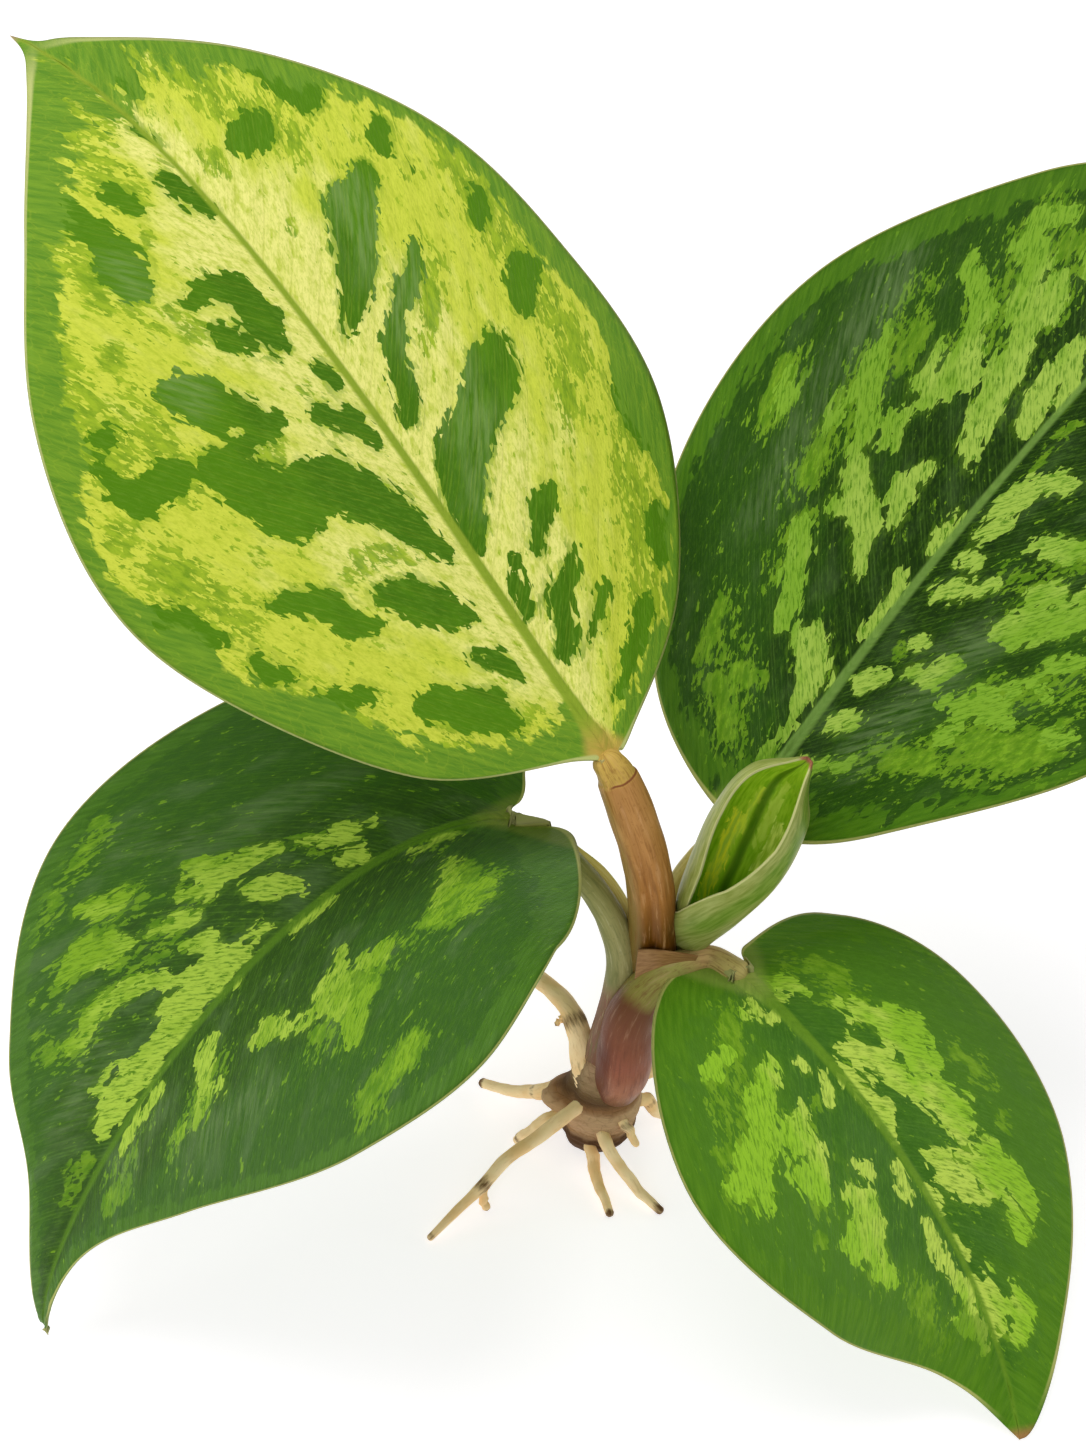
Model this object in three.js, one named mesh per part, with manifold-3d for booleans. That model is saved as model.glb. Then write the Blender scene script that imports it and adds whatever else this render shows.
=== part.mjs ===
// Camouflage homalomena lifted out of its pot. Four open leaves and one still rolled stand on
// sheathing petioles, which rise from a ringed stem base with bare roots.
// Millimetres, +Z up, the front towards -Y, the origin under the stem base.
import * as THREE from 'three';
import Module from 'manifold-3d';
import { mergeVertices } from 'three/addons/utils/BufferGeometryUtils.js';

const wasm = await Module();
wasm.setup();

// Sizes shared by several pieces
const GAP = 0.3; // clearance between two neighbouring pieces
const FULL_TURN = 360;
const WELD = 1e-4; // vertices closer than this are one vertex
const UP = new THREE.Vector3(0, 0, 1);
const FRONT = new THREE.Vector3(0, -1, 0);

const BLADE = {
  thickness: 0.8,
  ridge: 2.2, // height of the midrib under the blade, at the petiole
  rows: 26,
  columns: [0, 0.05, 0.28, 0.52, 0.76, 1], // from the midrib to the margin, as a share of the half
  sweep: 1.15, // how far back on the midrib a row starts, as a power of its place on the margin
  end: 0.985, // the last row stops just short of the tip
  waves: 4, // soft waves along each margin
  waveHeight: 0.5,
};

// Open leaves. The midrib is a cubic Bezier curve from the petiole to the tip. Each margin is a spline
// through points (distance along the midrib, distance from it). Roll turns the blade about its midrib,
// lift is the slope of a half where it leaves the midrib, and edge its slope at the margin, in degrees.
const LEAVES = {
  leaf_upper_left: {
    midrib: [[0, 5, 103], [-32, 37, 136], [-69, 62, 198], [-104, 86, 199]],
    roll: [0, -1],
    lift: [7, 8],
    edge: [-16, -9],
    port: [[0.5, 2.5], [3, 5], [18, 33], [51, 56], [79, 62], [108, 53], [134, 31], [155, 8], [161, 2]],
    starboard: [[0.5, 2.5], [2, 7], [18, 34], [47, 55], [79, 57], [107, 50], [137, 30], [156, 8], [161, 2]],
    colour: '#b9cf55',
  },
  leaf_lower_left: {
    midrib: [[-17, 7, 85.5], [-58, 2, 93], [-108, -50, 31], [-105, -46.5, 1.2]],
    roll: [6, -4],
    lift: [17, 17],
    edge: [5, 0],
    port: [[0.5, 2.5], [-10, 6], [-1.5, 42], [25, 62.5], [60, 53], [94, 25], [119, 6]],
    starboard: [[0.5, 2.5], [-3, 10], [-2, 40], [26, 49], [67, 49], [98, 29], [116, 11]],
    colour: '#4f7f39',
  },
  leaf_right: {
    midrib: [[27.5, 17.5, 80], [56, 41, 117], [88, 61, 151], [124, 77, 184]],
    roll: [0, 0],
    lift: [12, 12],
    edge: [0, 0],
    port: [[0.5, 2.5], [-6, 6], [6, 32], [39, 56], [79, 59], [118, 38], [140, 11]],
    starboard: [[0.5, 2.5], [-4, 7], [9, 26], [45, 55], [77, 62], [118, 38], [140, 11]],
    colour: '#5c8a3c',
  },
  leaf_lower_right: {
    midrib: [[24, -6, 58], [45, -33, 61], [70.5, -41, 20], [75, -69, 1.2]],
    roll: [-1, 0],
    lift: [10.5, 10.5],
    edge: [-9, -1],
    port: [[0.5, 2.5], [-5, 6], [-2, 22], [28, 35], [60, 33], [88, 13], [101, 3.5]],
    starboard: [[0.5, 2.5], [-7, 4], [-3, 17], [26, 42], [62, 33], [86, 13], [98, 4]],
    colour: '#5c9038',
  },
};

// Far wing of the lower left petiole's open sheath, seen above it: near and far edge of a thin strip
const WING = {
  near: [[3.6, 1, 48], [2.8, 1.2, 56], [0.8, 2.2, 64.5], [-2.2, 3.8, 71], [-6.8, 5.4, 76]],
  far: [[7, 3.5, 48], [5.6, 4.4, 57.5], [3.6, 5, 66], [-0.6, 6.4, 73.2], [-6.4, 7.4, 79]],
  thickness: 0.9,
};

// Thin triangular flap where the lower right petiole's sheath stands up in front of the crown
const FLAP = {
  near: [[4.8, -6.6, 56], [8, -6.4, 57.6], [11.6, -5.6, 59], [16, -4.6, 59.8]],
  far: [[5.4, -5.2, 63.8], [8.5, -5.2, 63.8], [12, -4.9, 62.8], [16.5, -4.4, 61.2]],
  thickness: 0.9,
};

// Petioles, from the stem to the blade: centre and radius at each step of the route, how deep the
// front groove is, and the thin strip of sheath that stands up from some of them
const PETIOLES = {
  petiole_upper_left: {
    route: [
      [4, 2.5, 24, 4.2], [6.5, 2, 42, 4.7], [8, 0.5, 55, 4.7], [8.1, 0, 63.5, 4.4],
      [7.6, 0, 74, 4.2], [6, 1, 84, 4.1], [3.5, 2.5, 93, 4], [1, 4.2, 99.8, 3.6], [-0.6, 5.2, 102.4, 3],
    ],
    groove: 0.3,
    strip: null,
    colour: '#b07a42',
  },
  petiole_lower_left: {
    route: [
      [0, 0.5, 23, 4.4], [1.2, -1, 35, 4.1], [2.6, -1, 46, 3.6], [2.8, -0.7, 56, 3.1],
      [0.8, 0.3, 65, 2.8], [-2.4, 2, 71.5, 2.6], [-7, 4.6, 76.5, 2.6], [-12, 6.5, 81, 2.4],
      [-17, 7, 84.5, 2.2],
    ],
    groove: 0,
    strip: WING,
    colour: '#8d9a68',
  },
  petiole_lower_right: {
    route: [
      [2.4, -2.6, 21, 4.4], [3.2, -5.2, 28.5, 5.2], [3.6, -6.4, 37, 5.3], [4.6, -6.8, 47.5, 4.7],
      [8.2, -5.8, 55, 3.7], [13.5, -3.6, 58, 2.7], [19, -2.2, 58, 2.3], [24, -5.4, 57.6, 2.1],
    ],
    groove: 0,
    strip: FLAP,
    colour: '#a86a5a',
  },
  petiole_right: {
    route: [
      [4.5, 5, 24, 3], [8, 7, 42, 3.2], [11.5, 8.8, 57, 3.1], [15, 11, 66, 2.9],
      [19.5, 14, 70.8, 2.7], [24, 16.4, 75, 2.5], [27.3, 17.5, 79.4, 2.2],
    ],
    groove: 0,
    strip: null,
    colour: '#b9b04e',
  },
};

const PETIOLE_SIDES = 12;
const GROOVE_WIDTH = 0.35; // radians round the petiole
const STEPS_PER_SPAN = 2; // rings between two centres of a route
const STRIP_ROWS_PER_POINT = 3;
const STRIP_COLUMNS = 4;

// Young leaf, still rolled lengthwise: centre and inner radius along its axis. The roll is open towards the
// viewer between its two margins, at angles counted from the front to the left. The left margin stays at one
// angle, and the right one, which closes up to it at the base, turns away between two shares of the length.
const YOUNG = {
  axis: [
    [15, 1, 60, 2.9], [18.6, 1, 70, 5.6], [23.2, 2, 80, 7.6], [26.6, 3, 88, 7.6],
    [30.2, 4.5, 95.2, 5.6], [35, 6, 102, 0.5],
  ],
  stalk: [[7.5, 3, 26, 2.2], [10, 3, 42, 2.6], [13, 1.8, 54, 2.9], [15.6, 1, 62.5, 3.1]],
  leftMargin: 50,
  rightMargin: { closed: 44, open: -75, turns: [0.1, 0.62] },
  facing: [-0.35, -0.75, 0.55],
  thickness: 0.8,
  rows: 15,
  columns: 16,
  colour: '#9fb46a',
};

// Stem base: radius at each height, with the rings that fallen leaves left. The small flat foot lies
// a little to the left and back of the origin, and the stem leans right from it.
const STEM = {
  profile: [
    [0, 3.4], [0.8, 4.8], [2.6, 6.3], [5, 7.3], [7, 7.2], [8.6, 7], [10.2, 7.5], [12.6, 7.6], [15, 7.1],
    [17, 6.4], [19, 6.5], [21.4, 7], [23.4, 6.9], [26, 6.1], [29, 5.2], [32, 3.4],
  ],
  foot: [-1.8, 1.4],
  top: [2, 0.6],
  knob: { height: 13.5, reach: 4.5, spread: 4, angle: 180, turn: 0.5 },
  sides: 24,
  rings: 20,
  colour: '#8a6a4c',
};

// Roots, from the stem outwards: centre and radius; branches leave the root that carries them
const ROOTS = {
  root_front_left: {
    route: [
      [-3, -2, 15.4, 1.5], [-6, -4, 15.2, 1.6], [-12.6, -8, 12.1, 1.5], [-20.3, -13, 8.6, 1.4],
      [-27, -18.5, 4.6, 1.1], [-33.8, -24.2, 0.9, 0.8],
    ],
    branches: [[[-22.8, -15, 7, 0.9], [-23.6, -16.4, 3.6, 1], [-23, -17.3, 0.9, 0.9]]],
  },
  root_left: {
    route: [
      [-6, 0.5, 14.6, 1.9], [-10, 2, 13.4, 1.9], [-16.6, 7, 6.2, 1.4], [-24.1, 12, 2.9, 1.1],
    ],
    branches: [],
  },
  root_left_short: {
    route: [[-6.5, -1.5, 11.5, 1.5], [-11.4, -2.6, 9.6, 1.5], [-14.8, -2, 5.4, 1.3], [-17, -1, 1.2, 1.1]],
    branches: [],
  },
  root_front: {
    route: [[-3, -3, 6, 1.3], [-2.4, -7, 4.4, 1.4], [-1, -12.5, 2, 1.2], [1, -18.6, 1, 0.9]],
    branches: [],
  },
  root_front_right: {
    route: [
      [-0.8, -4, 11, 1.3], [0.4, -8, 8.6, 1.4], [3.6, -11, 5, 1.3], [7, -14.2, 2, 1.2], [10.8, -17.9, 1, 0.9],
    ],
    branches: [],
  },
  root_stub: {
    route: [[2.6, -3.6, 12.6, 1.1], [4.2, -6, 12, 1.1], [6.2, -7.6, 8.6, 0.8]],
    branches: [],
  },
  root_right: {
    route: [[4, 1, 12.6, 1.5], [8, 2, 10.4, 1.5], [10.8, 3.4, 4.4, 1.3], [15, 6, 1.1, 0.9]],
    branches: [],
  },
  root_aerial: {
    route: [
      [-1.6, 0.4, 18, 5], [-3.6, 1.4, 25, 3.4], [-5.6, 4, 31, 2.3], [-8.2, 8.5, 33.3, 2.1],
      [-12.8, 14, 33, 2], [-20, 24, 27, 1.8], [-31, 42, 12, 1.5], [-39, 54, 3, 1.2], [-45, 61, 1, 0.9],
    ],
    branches: [[[-7.4, 6, 32.6, 0.7], [-9.4, 4.8, 30.2, 0.6]]],
  },
  root_back: {
    route: [[0, 5, 10, 1.5], [1, 10, 9, 1.5], [4, 24, 5.5, 1.4], [7, 38, 1.8, 1.2], [8, 47, 1, 0.9]],
    branches: [],
  },
  root_back_right: {
    route: [[3.5, 3.5, 14, 1.5], [8, 7.4, 12, 1.5], [18, 15, 6, 1.3], [27, 22, 1.8, 1.1], [33, 26, 1, 0.9]],
    branches: [],
  },
};
const ROOT_SIDES = 8;
const ROOT_COLOUR = '#c9a367';

// A closed geometry as a solid for joining and cutting
function toSolid(geometry) {
  geometry.deleteAttribute('normal');
  geometry.deleteAttribute('uv');
  const merged = mergeVertices(geometry, WELD);
  return new wasm.Manifold(new wasm.Mesh({
    numProp: 3,
    vertProperties: new Float32Array(merged.attributes.position.array),
    triVerts: new Uint32Array(merged.index.array),
  }));
}

// The largest body of a solid, without loose scraps, as a named mesh
function toMesh(name, solid, colour, roughness) {
  const largest = solid.decompose().reduce((a, b) => (a.volume() > b.volume() ? a : b));
  const { vertProperties, triVerts } = largest.getMesh();
  const geometry = new THREE.BufferGeometry();
  geometry.setAttribute('position', new THREE.BufferAttribute(vertProperties, 3));
  geometry.setIndex(new THREE.BufferAttribute(triVerts, 1));
  const flat = geometry.toNonIndexed();
  flat.computeVertexNormals();
  const material = new THREE.MeshStandardMaterial({ color: colour, roughness, metalness: 0 });
  const mesh = new THREE.Mesh(flat, material);
  mesh.name = name;
  return mesh;
}

// Smooth curve through the centres of a route, and the radius between them
function routeCurve(route) {
  const points = route.map(([x, y, z]) => new THREE.Vector3(x, y, z));
  const centres = new THREE.CatmullRomCurve3(points, false, 'catmullrom');
  const radii = new THREE.SplineCurve(route.map((point, index) => new THREE.Vector2(index, point[3])));
  return { centres, radius: (t) => radii.getPoint(t).y };
}

// Direction across a curve that faces as nearly as possible towards the given one
function faceAcross(direction, along) {
  return direction.clone().addScaledVector(along, -direction.dot(along)).normalize();
}

// A closed cylinder bent along a route. section(t, angle) scales the radius, the angle counted from
// the front; grow widens and lengthens the whole for cutting a neighbour with clearance.
function sweep(route, sides, grow = 0, section = () => 1) {
  const { centres, radius } = routeCurve(route);
  const steps = (route.length - 1) * STEPS_PER_SPAN;
  const geometry = new THREE.CylinderGeometry(1, 1, 1, sides, steps);
  const position = geometry.attributes.position;
  const unit = new THREE.Vector3();
  for (let i = 0; i < position.count; i += 1) {
    unit.fromBufferAttribute(position, i);
    const t = THREE.MathUtils.clamp(unit.y + 0.5, 0, 1);
    const angle = Math.atan2(unit.z, unit.x);
    const reach = Math.hypot(unit.x, unit.z) * (radius(t) * section(t, angle) + grow);
    const along = centres.getTangent(t);
    const front = faceAcross(FRONT, along);
    const side = front.clone().cross(along);
    const overrun = grow * (Number(t > 1 - WELD) - Number(t < WELD));
    const point = centres.getPoint(t)
      .addScaledVector(front, reach * Math.cos(angle))
      .addScaledVector(side, reach * Math.sin(angle))
      .addScaledVector(along, overrun);
    position.setXYZ(i, point.x, point.y, point.z);
  }
  return toSolid(geometry);
}

// A closed sheet over a grid of rows by columns: surface(row, column) gives its upper face and
// thickness(row, column) how far the lower face lies under it
function sheet(rows, columns, surface, thickness) {
  const rowPoints = (r) => Array.from({ length: columns }, (_, c) => surface(r, c));
  const grid = Array.from({ length: rows }, (_, r) => rowPoints(r));
  const vertices = [];
  const topIndex = (r, c) => 2 * (r * columns + c);
  const lowIndex = (r, c) => topIndex(r, c) + 1;
  for (let r = 0; r < rows; r += 1) {
    for (let c = 0; c < columns; c += 1) {
      const alongRows = grid[Math.min(r + 1, rows - 1)][c].clone().sub(grid[Math.max(r - 1, 0)][c]);
      const alongColumns = grid[r][Math.min(c + 1, columns - 1)].clone().sub(grid[r][Math.max(c - 1, 0)]);
      const normal = alongColumns.cross(alongRows).normalize();
      const low = grid[r][c].clone().addScaledVector(normal, -thickness(r, c));
      vertices.push(...grid[r][c].toArray(), ...low.toArray());
    }
  }
  const indices = [];
  const quad = (a, b, c, d) => indices.push(a, b, c, a, c, d);
  for (let r = 0; r + 1 < rows; r += 1) {
    for (let c = 0; c + 1 < columns; c += 1) {
      quad(topIndex(r, c), topIndex(r, c + 1), topIndex(r + 1, c + 1), topIndex(r + 1, c));
      indices.push(lowIndex(r, c), lowIndex(r + 1, c + 1), lowIndex(r, c + 1));
      indices.push(lowIndex(r, c), lowIndex(r + 1, c), lowIndex(r + 1, c + 1));
    }
    const last = columns - 1;
    quad(topIndex(r, 0), topIndex(r + 1, 0), lowIndex(r + 1, 0), lowIndex(r, 0));
    quad(topIndex(r, last), lowIndex(r, last), lowIndex(r + 1, last), topIndex(r + 1, last));
  }
  for (let c = 0; c + 1 < columns; c += 1) {
    const last = rows - 1;
    quad(topIndex(0, c), lowIndex(0, c), lowIndex(0, c + 1), topIndex(0, c + 1));
    quad(topIndex(last, c), topIndex(last, c + 1), lowIndex(last, c + 1), lowIndex(last, c));
  }
  const geometry = new THREE.BufferGeometry();
  geometry.setAttribute('position', new THREE.Float32BufferAttribute(vertices, 3));
  geometry.setIndex(indices);
  return toSolid(geometry);
}

// Place on an open leaf of the point a distance x along its midrib and y to one side of it, where the
// half is halfWidth wide. side is 1 for port and -1 for starboard.
function placeOnLeaf(leaf, x, y, halfWidth, side) {
  const share = THREE.MathUtils.clamp(x / leaf.length, 0, 1);
  const along = leaf.curve.getTangentAt(share);
  const base = leaf.curve.getPointAt(share).addScaledVector(along, Math.min(x, 0));
  const level = UP.clone().cross(along).normalize();
  const upright = along.clone().cross(level);
  const roll = THREE.MathUtils.degToRad(THREE.MathUtils.lerp(leaf.roll[0], leaf.roll[1], share));
  const across = level.clone().multiplyScalar(Math.cos(roll)).addScaledVector(upright, Math.sin(roll));
  const normal = along.clone().cross(across);
  const index = side > 0 ? 0 : 1;
  const lift = THREE.MathUtils.degToRad(leaf.lift[index]);
  const bend = THREE.MathUtils.degToRad(leaf.edge[index] - leaf.lift[index]) / Math.max(halfWidth, 0.1);
  const turned = lift + bend * y;
  const out = (Math.sin(turned) - Math.sin(lift)) / bend;
  const rise = (Math.cos(lift) - Math.cos(turned)) / bend;
  return base.addScaledVector(across, side * out).addScaledVector(normal, rise);
}

// Open leaf: a thin blade in a grid that fans out from the midrib, thicker under the midrib
function buildLeaf(spec) {
  const curve = new THREE.CubicBezierCurve3(...spec.midrib.map((p) => new THREE.Vector3(...p)));
  const leaf = { ...spec, curve, length: curve.getLength() };
  const tip = [leaf.length, 0];
  const margin = (points) => new THREE.SplineCurve([...points, tip].map((p) => new THREE.Vector2(...p)));
  const margins = { port: margin(spec.port), starboard: margin(spec.starboard) };
  const shares = [...BLADE.columns.slice(1).reverse().map((s) => -s), ...BLADE.columns];
  const surface = (r, c) => {
    const q = (BLADE.end * r) / (BLADE.rows - 1);
    const side = shares[c] < 0 ? 1 : -1;
    const s = Math.abs(shares[c]);
    const edge = margins[side > 0 ? 'port' : 'starboard'].getPoint(q);
    const x = THREE.MathUtils.lerp(leaf.length * q ** BLADE.sweep, edge.x, s);
    const wave = BLADE.waveHeight * s * s * Math.sin(Math.PI * q) * Math.sin(2 * Math.PI * BLADE.waves * q);
    return placeOnLeaf(leaf, x, edge.y * s, edge.y, side).addScaledVector(UP, wave);
  };
  const thickness = (r, c) => {
    const isMidrib = shares[c] === 0;
    return BLADE.thickness + (isMidrib ? BLADE.ridge * (1 - r / (BLADE.rows - 1)) : 0);
  };
  return sheet(BLADE.rows, shares.length, surface, thickness);
}

// Strip between two edges, each a smooth curve
function buildStrip({ near, far, thickness }) {
  const toCurve = (points) => new THREE.CatmullRomCurve3(points.map((p) => new THREE.Vector3(...p)));
  const [nearEdge, farEdge] = [toCurve(near), toCurve(far)];
  const rows = STRIP_ROWS_PER_POINT * near.length;
  const surface = (r, c) => {
    const t = r / (rows - 1);
    return nearEdge.getPoint(t).lerp(farEdge.getPoint(t), c / (STRIP_COLUMNS - 1));
  };
  return sheet(rows, STRIP_COLUMNS, surface, () => thickness);
}

// Petiole: round, with a shallow groove on the front where the sheath's margins meet
function buildPetiole({ route, groove }, grow = 0) {
  const section = (t, angle) => 1 - groove * Math.exp(-((angle / GROOVE_WIDTH) ** 2)) * Math.sin(Math.PI * t);
  return sweep(route, PETIOLE_SIDES, grow, section);
}

// Young leaf: a sheet rolled about its axis, on a short round stalk
function buildYoungLeaf() {
  const { centres, radius } = routeCurve(YOUNG.axis);
  const facing = new THREE.Vector3(...YOUNG.facing);
  const surface = (r, c) => {
    const t = r / (YOUNG.rows - 1);
    const along = centres.getTangent(t);
    const front = faceAcross(facing, along);
    const side = front.clone().cross(along);
    const { closed, open, turns } = YOUNG.rightMargin;
    const right = THREE.MathUtils.lerp(closed, open, THREE.MathUtils.smoothstep(t, ...turns));
    const turn = THREE.MathUtils.lerp(YOUNG.leftMargin, right + FULL_TURN, c / (YOUNG.columns - 1));
    const angle = THREE.MathUtils.degToRad(turn);
    return centres.getPoint(t)
      .addScaledVector(front, radius(t) * Math.cos(angle))
      .addScaledVector(side, radius(t) * Math.sin(angle));
  };
  const thickness = (r) => Math.min(YOUNG.thickness, 0.6 * radius(r / (YOUNG.rows - 1)));
  const roll = sheet(YOUNG.rows, YOUNG.columns, surface, thickness);
  return roll.add(sweep(YOUNG.stalk, PETIOLE_SIDES));
}

// Stem base: a ringed post with a knob on its left and a flat foot
function buildStem(grow = 0) {
  const heights = new THREE.SplineCurve(STEM.profile.map(([z, r]) => new THREE.Vector2(z, r)));
  const geometry = new THREE.CylinderGeometry(1, 1, 1, STEM.sides, STEM.rings);
  geometry.rotateX(Math.PI / 2);
  const position = geometry.attributes.position;
  const knobAngle = THREE.MathUtils.degToRad(STEM.knob.angle);
  const top = STEM.profile[STEM.profile.length - 1][0];
  for (let i = 0; i < position.count; i += 1) {
    const t = THREE.MathUtils.clamp(position.getZ(i) + 0.5, 0, 1);
    const angle = Math.atan2(position.getY(i), position.getX(i));
    const level = heights.getPoint(t);
    const turn = Math.abs(Math.atan2(Math.sin(angle - knobAngle), Math.cos(angle - knobAngle)));
    const fromKnob = ((level.x - STEM.knob.height) / STEM.knob.spread) ** 2 + (turn / STEM.knob.turn) ** 2;
    const knob = STEM.knob.reach * Math.exp(-fromKnob);
    const reach = Math.hypot(position.getX(i), position.getY(i)) * (level.y + knob + grow);
    const rise = level.x / top;
    const x = reach * Math.cos(angle) + THREE.MathUtils.lerp(STEM.foot[0], STEM.top[0], rise);
    const y = reach * Math.sin(angle) + THREE.MathUtils.lerp(STEM.foot[1], STEM.top[1], rise);
    const overrun = grow * (Number(t > 1 - WELD) - Number(t < WELD));
    position.setXYZ(i, x, y, level.x + overrun);
  }
  return toSolid(geometry);
}

// Root with its side branches
function buildRoot({ route, branches }, grow = 0) {
  const main = sweep(route, ROOT_SIDES, grow);
  return branches.reduce((solid, branch) => solid.add(sweep(branch, ROOT_SIDES, grow)), main);
}

// The plant: each piece is cut clear of the ones built before it
const plant = new THREE.Group();
const cutters = [];

function addPiece(name, solid, colour, roughness) {
  const cut = cutters.reduce((left, cutter) => left.subtract(cutter), solid);
  plant.add(toMesh(name, cut, colour, roughness));
}

addPiece('stem_base', buildStem(), STEM.colour, 0.8);
cutters.push(buildStem(GAP));

for (const [name, spec] of Object.entries(PETIOLES)) {
  const petiole = buildPetiole(spec);
  addPiece(name, spec.strip ? petiole.add(buildStrip(spec.strip)) : petiole, spec.colour, 0.45);
  cutters.push(buildPetiole(spec, GAP));
}

addPiece('leaf_young', buildYoungLeaf(), YOUNG.colour, 0.4);

for (const [name, spec] of Object.entries(ROOTS)) {
  addPiece(name, buildRoot(spec), ROOT_COLOUR, 0.8);
  cutters.push(buildRoot(spec, GAP));
}

for (const [name, spec] of Object.entries(LEAVES)) {
  addPiece(name, buildLeaf(spec), spec.colour, 0.35);
}

export default plant;
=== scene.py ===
# Looks of the bare-root camouflage homalomena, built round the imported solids.
import math

import bmesh
import bpy
import numpy as np
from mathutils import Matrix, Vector


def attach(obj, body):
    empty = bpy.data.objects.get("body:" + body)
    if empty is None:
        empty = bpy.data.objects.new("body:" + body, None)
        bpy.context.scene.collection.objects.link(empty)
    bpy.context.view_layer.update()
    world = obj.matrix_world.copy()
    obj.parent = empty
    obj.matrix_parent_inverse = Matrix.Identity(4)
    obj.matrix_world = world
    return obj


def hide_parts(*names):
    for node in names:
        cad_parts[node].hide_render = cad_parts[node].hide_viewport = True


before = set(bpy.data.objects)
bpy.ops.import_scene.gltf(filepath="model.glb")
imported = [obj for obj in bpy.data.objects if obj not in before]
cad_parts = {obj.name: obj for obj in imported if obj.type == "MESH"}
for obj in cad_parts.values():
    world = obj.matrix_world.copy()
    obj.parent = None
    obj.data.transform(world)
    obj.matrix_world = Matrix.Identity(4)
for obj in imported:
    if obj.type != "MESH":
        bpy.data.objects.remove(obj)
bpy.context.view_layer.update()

MM = 0.001  # the plant's sizes are in millimetres here, and its meshes are in metres
UP = np.array([0.0, 0.0, 1.0])
FRONT = np.array([0.0, -1.0, 0.0])
# Rows along a surface, and columns round or across it
GRIDS = {
    "petiole": (150, 64), "strip": (60, 16), "young leaf": (90, 90), "young stalk": (40, 32),
    "stem": (90, 120), "root": (70, 20), "rootlet": (24, 20),
}
SAMPLES = 400  # places at which the length of a curve is measured
STEP = 1e-3  # share of a curve over which its direction is taken
MERGE = 2e-6  # metres within which the vertices at seams and poles become one
CAP = 0.03  # share of a tube's rows that closes one end
CAP_BULGE = 0.7  # how far a closed end swells out, in radii
RIM_BULGE = 0.4  # how far the rim of a sheet swells out, in thicknesses
RIPPLE_WAVES = 4  # waves that make up an unevenness


# Curves

def unit(vectors):
    """Vectors scaled to length one."""
    vectors = np.asarray(vectors, float)
    length = np.linalg.norm(vectors, axis=-1, keepdims=True)
    return vectors / np.maximum(length, 1e-9)


def spline(points, t, mirrored=False):
    """Places on a smooth curve through the points, at shares t of the way along them."""
    p = np.asarray(points, float)
    first, last = (2 * p[0] - p[1], 2 * p[-1] - p[-2]) if mirrored else (p[0], p[-1])
    p = np.vstack([first, p, last])
    spans = len(points) - 1
    place = np.clip(np.asarray(t, float), 0, 1) * spans
    i = np.minimum(place.astype(int), spans - 1)
    w = (place - i)[..., None]
    a, b, c, d = p[i], p[i + 1], p[i + 2], p[i + 3]
    leave, arrive = (c - a) / 2, (d - b) / 2
    cubic = 2 * b - 2 * c + leave + arrive
    square = 3 * c - 3 * b - 2 * leave - arrive
    return cubic * w ** 3 + square * w ** 2 + leave * w + b


def heading(points, t, mirrored=False):
    """Direction of that curve at shares t."""
    ahead = spline(points, np.clip(t + STEP, 0, 1), mirrored)
    behind = spline(points, np.clip(t - STEP, 0, 1), mirrored)
    return unit(ahead - behind)


def ripple(x, seed):
    """Smooth seeded unevenness between about -1 and 1."""
    draw = np.random.default_rng(seed)
    total = 0
    for wave in range(RIPPLE_WAVES):
        speed, start = draw.uniform(0.6, 1.4), draw.uniform(0, 2 * math.pi)
        total = total + np.sin((wave + speed) * x + start)
    return total / math.sqrt(2 * RIPPLE_WAVES)


def ease(x, low, high):
    """0 below low, 1 above high, smooth between."""
    t = np.clip((np.asarray(x, float) - low) / (high - low), 0, 1)
    return t * t * (3 - 2 * t)


# Meshes

def grid_mesh(rows, columns, place):
    """A grid laid by place(u, v), which gives each vertex its position and its attributes. Vertices
    that meet at seams and poles are merged. u runs across the columns and v along the rows."""
    bm = bmesh.new()
    bmesh.ops.create_grid(bm, x_segments=columns, y_segments=rows, size=1)
    flat = np.array([v.co[:2] for v in bm.verts])
    u, v = (flat[:, 0] + 1) / 2, (flat[:, 1] + 1) / 2
    positions, attributes = place(u, v)
    layers = {name: bm.verts.layers.float_vector.new(name) for name in attributes}
    for index, vert in enumerate(bm.verts):
        vert.co = positions[index] * MM
        for name, layer in layers.items():
            vert[layer] = attributes[name][index]
    bmesh.ops.remove_doubles(bm, verts=bm.verts, dist=MERGE)
    return bm


def close(bm):
    """Closes open ends, and turns the faces outwards."""
    rims = [edge for edge in bm.edges if edge.is_boundary]
    if rims:
        bmesh.ops.holes_fill(bm, edges=rims, sides=0)
    bmesh.ops.recalc_face_normals(bm, faces=bm.faces)


def piece(name, bm, material, slot, *nodes):
    """A finished piece from its bmesh, riding on the plant and standing for the nodes."""
    mesh = bpy.data.meshes.new(name)
    bm.to_mesh(mesh)
    bm.free()
    mesh.shade_smooth()
    thing = bpy.data.objects.new(name, mesh)
    bpy.context.scene.collection.objects.link(thing)
    mesh.materials.append(material)
    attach(thing, "root")
    if nodes:
        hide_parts(*nodes)


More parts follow.
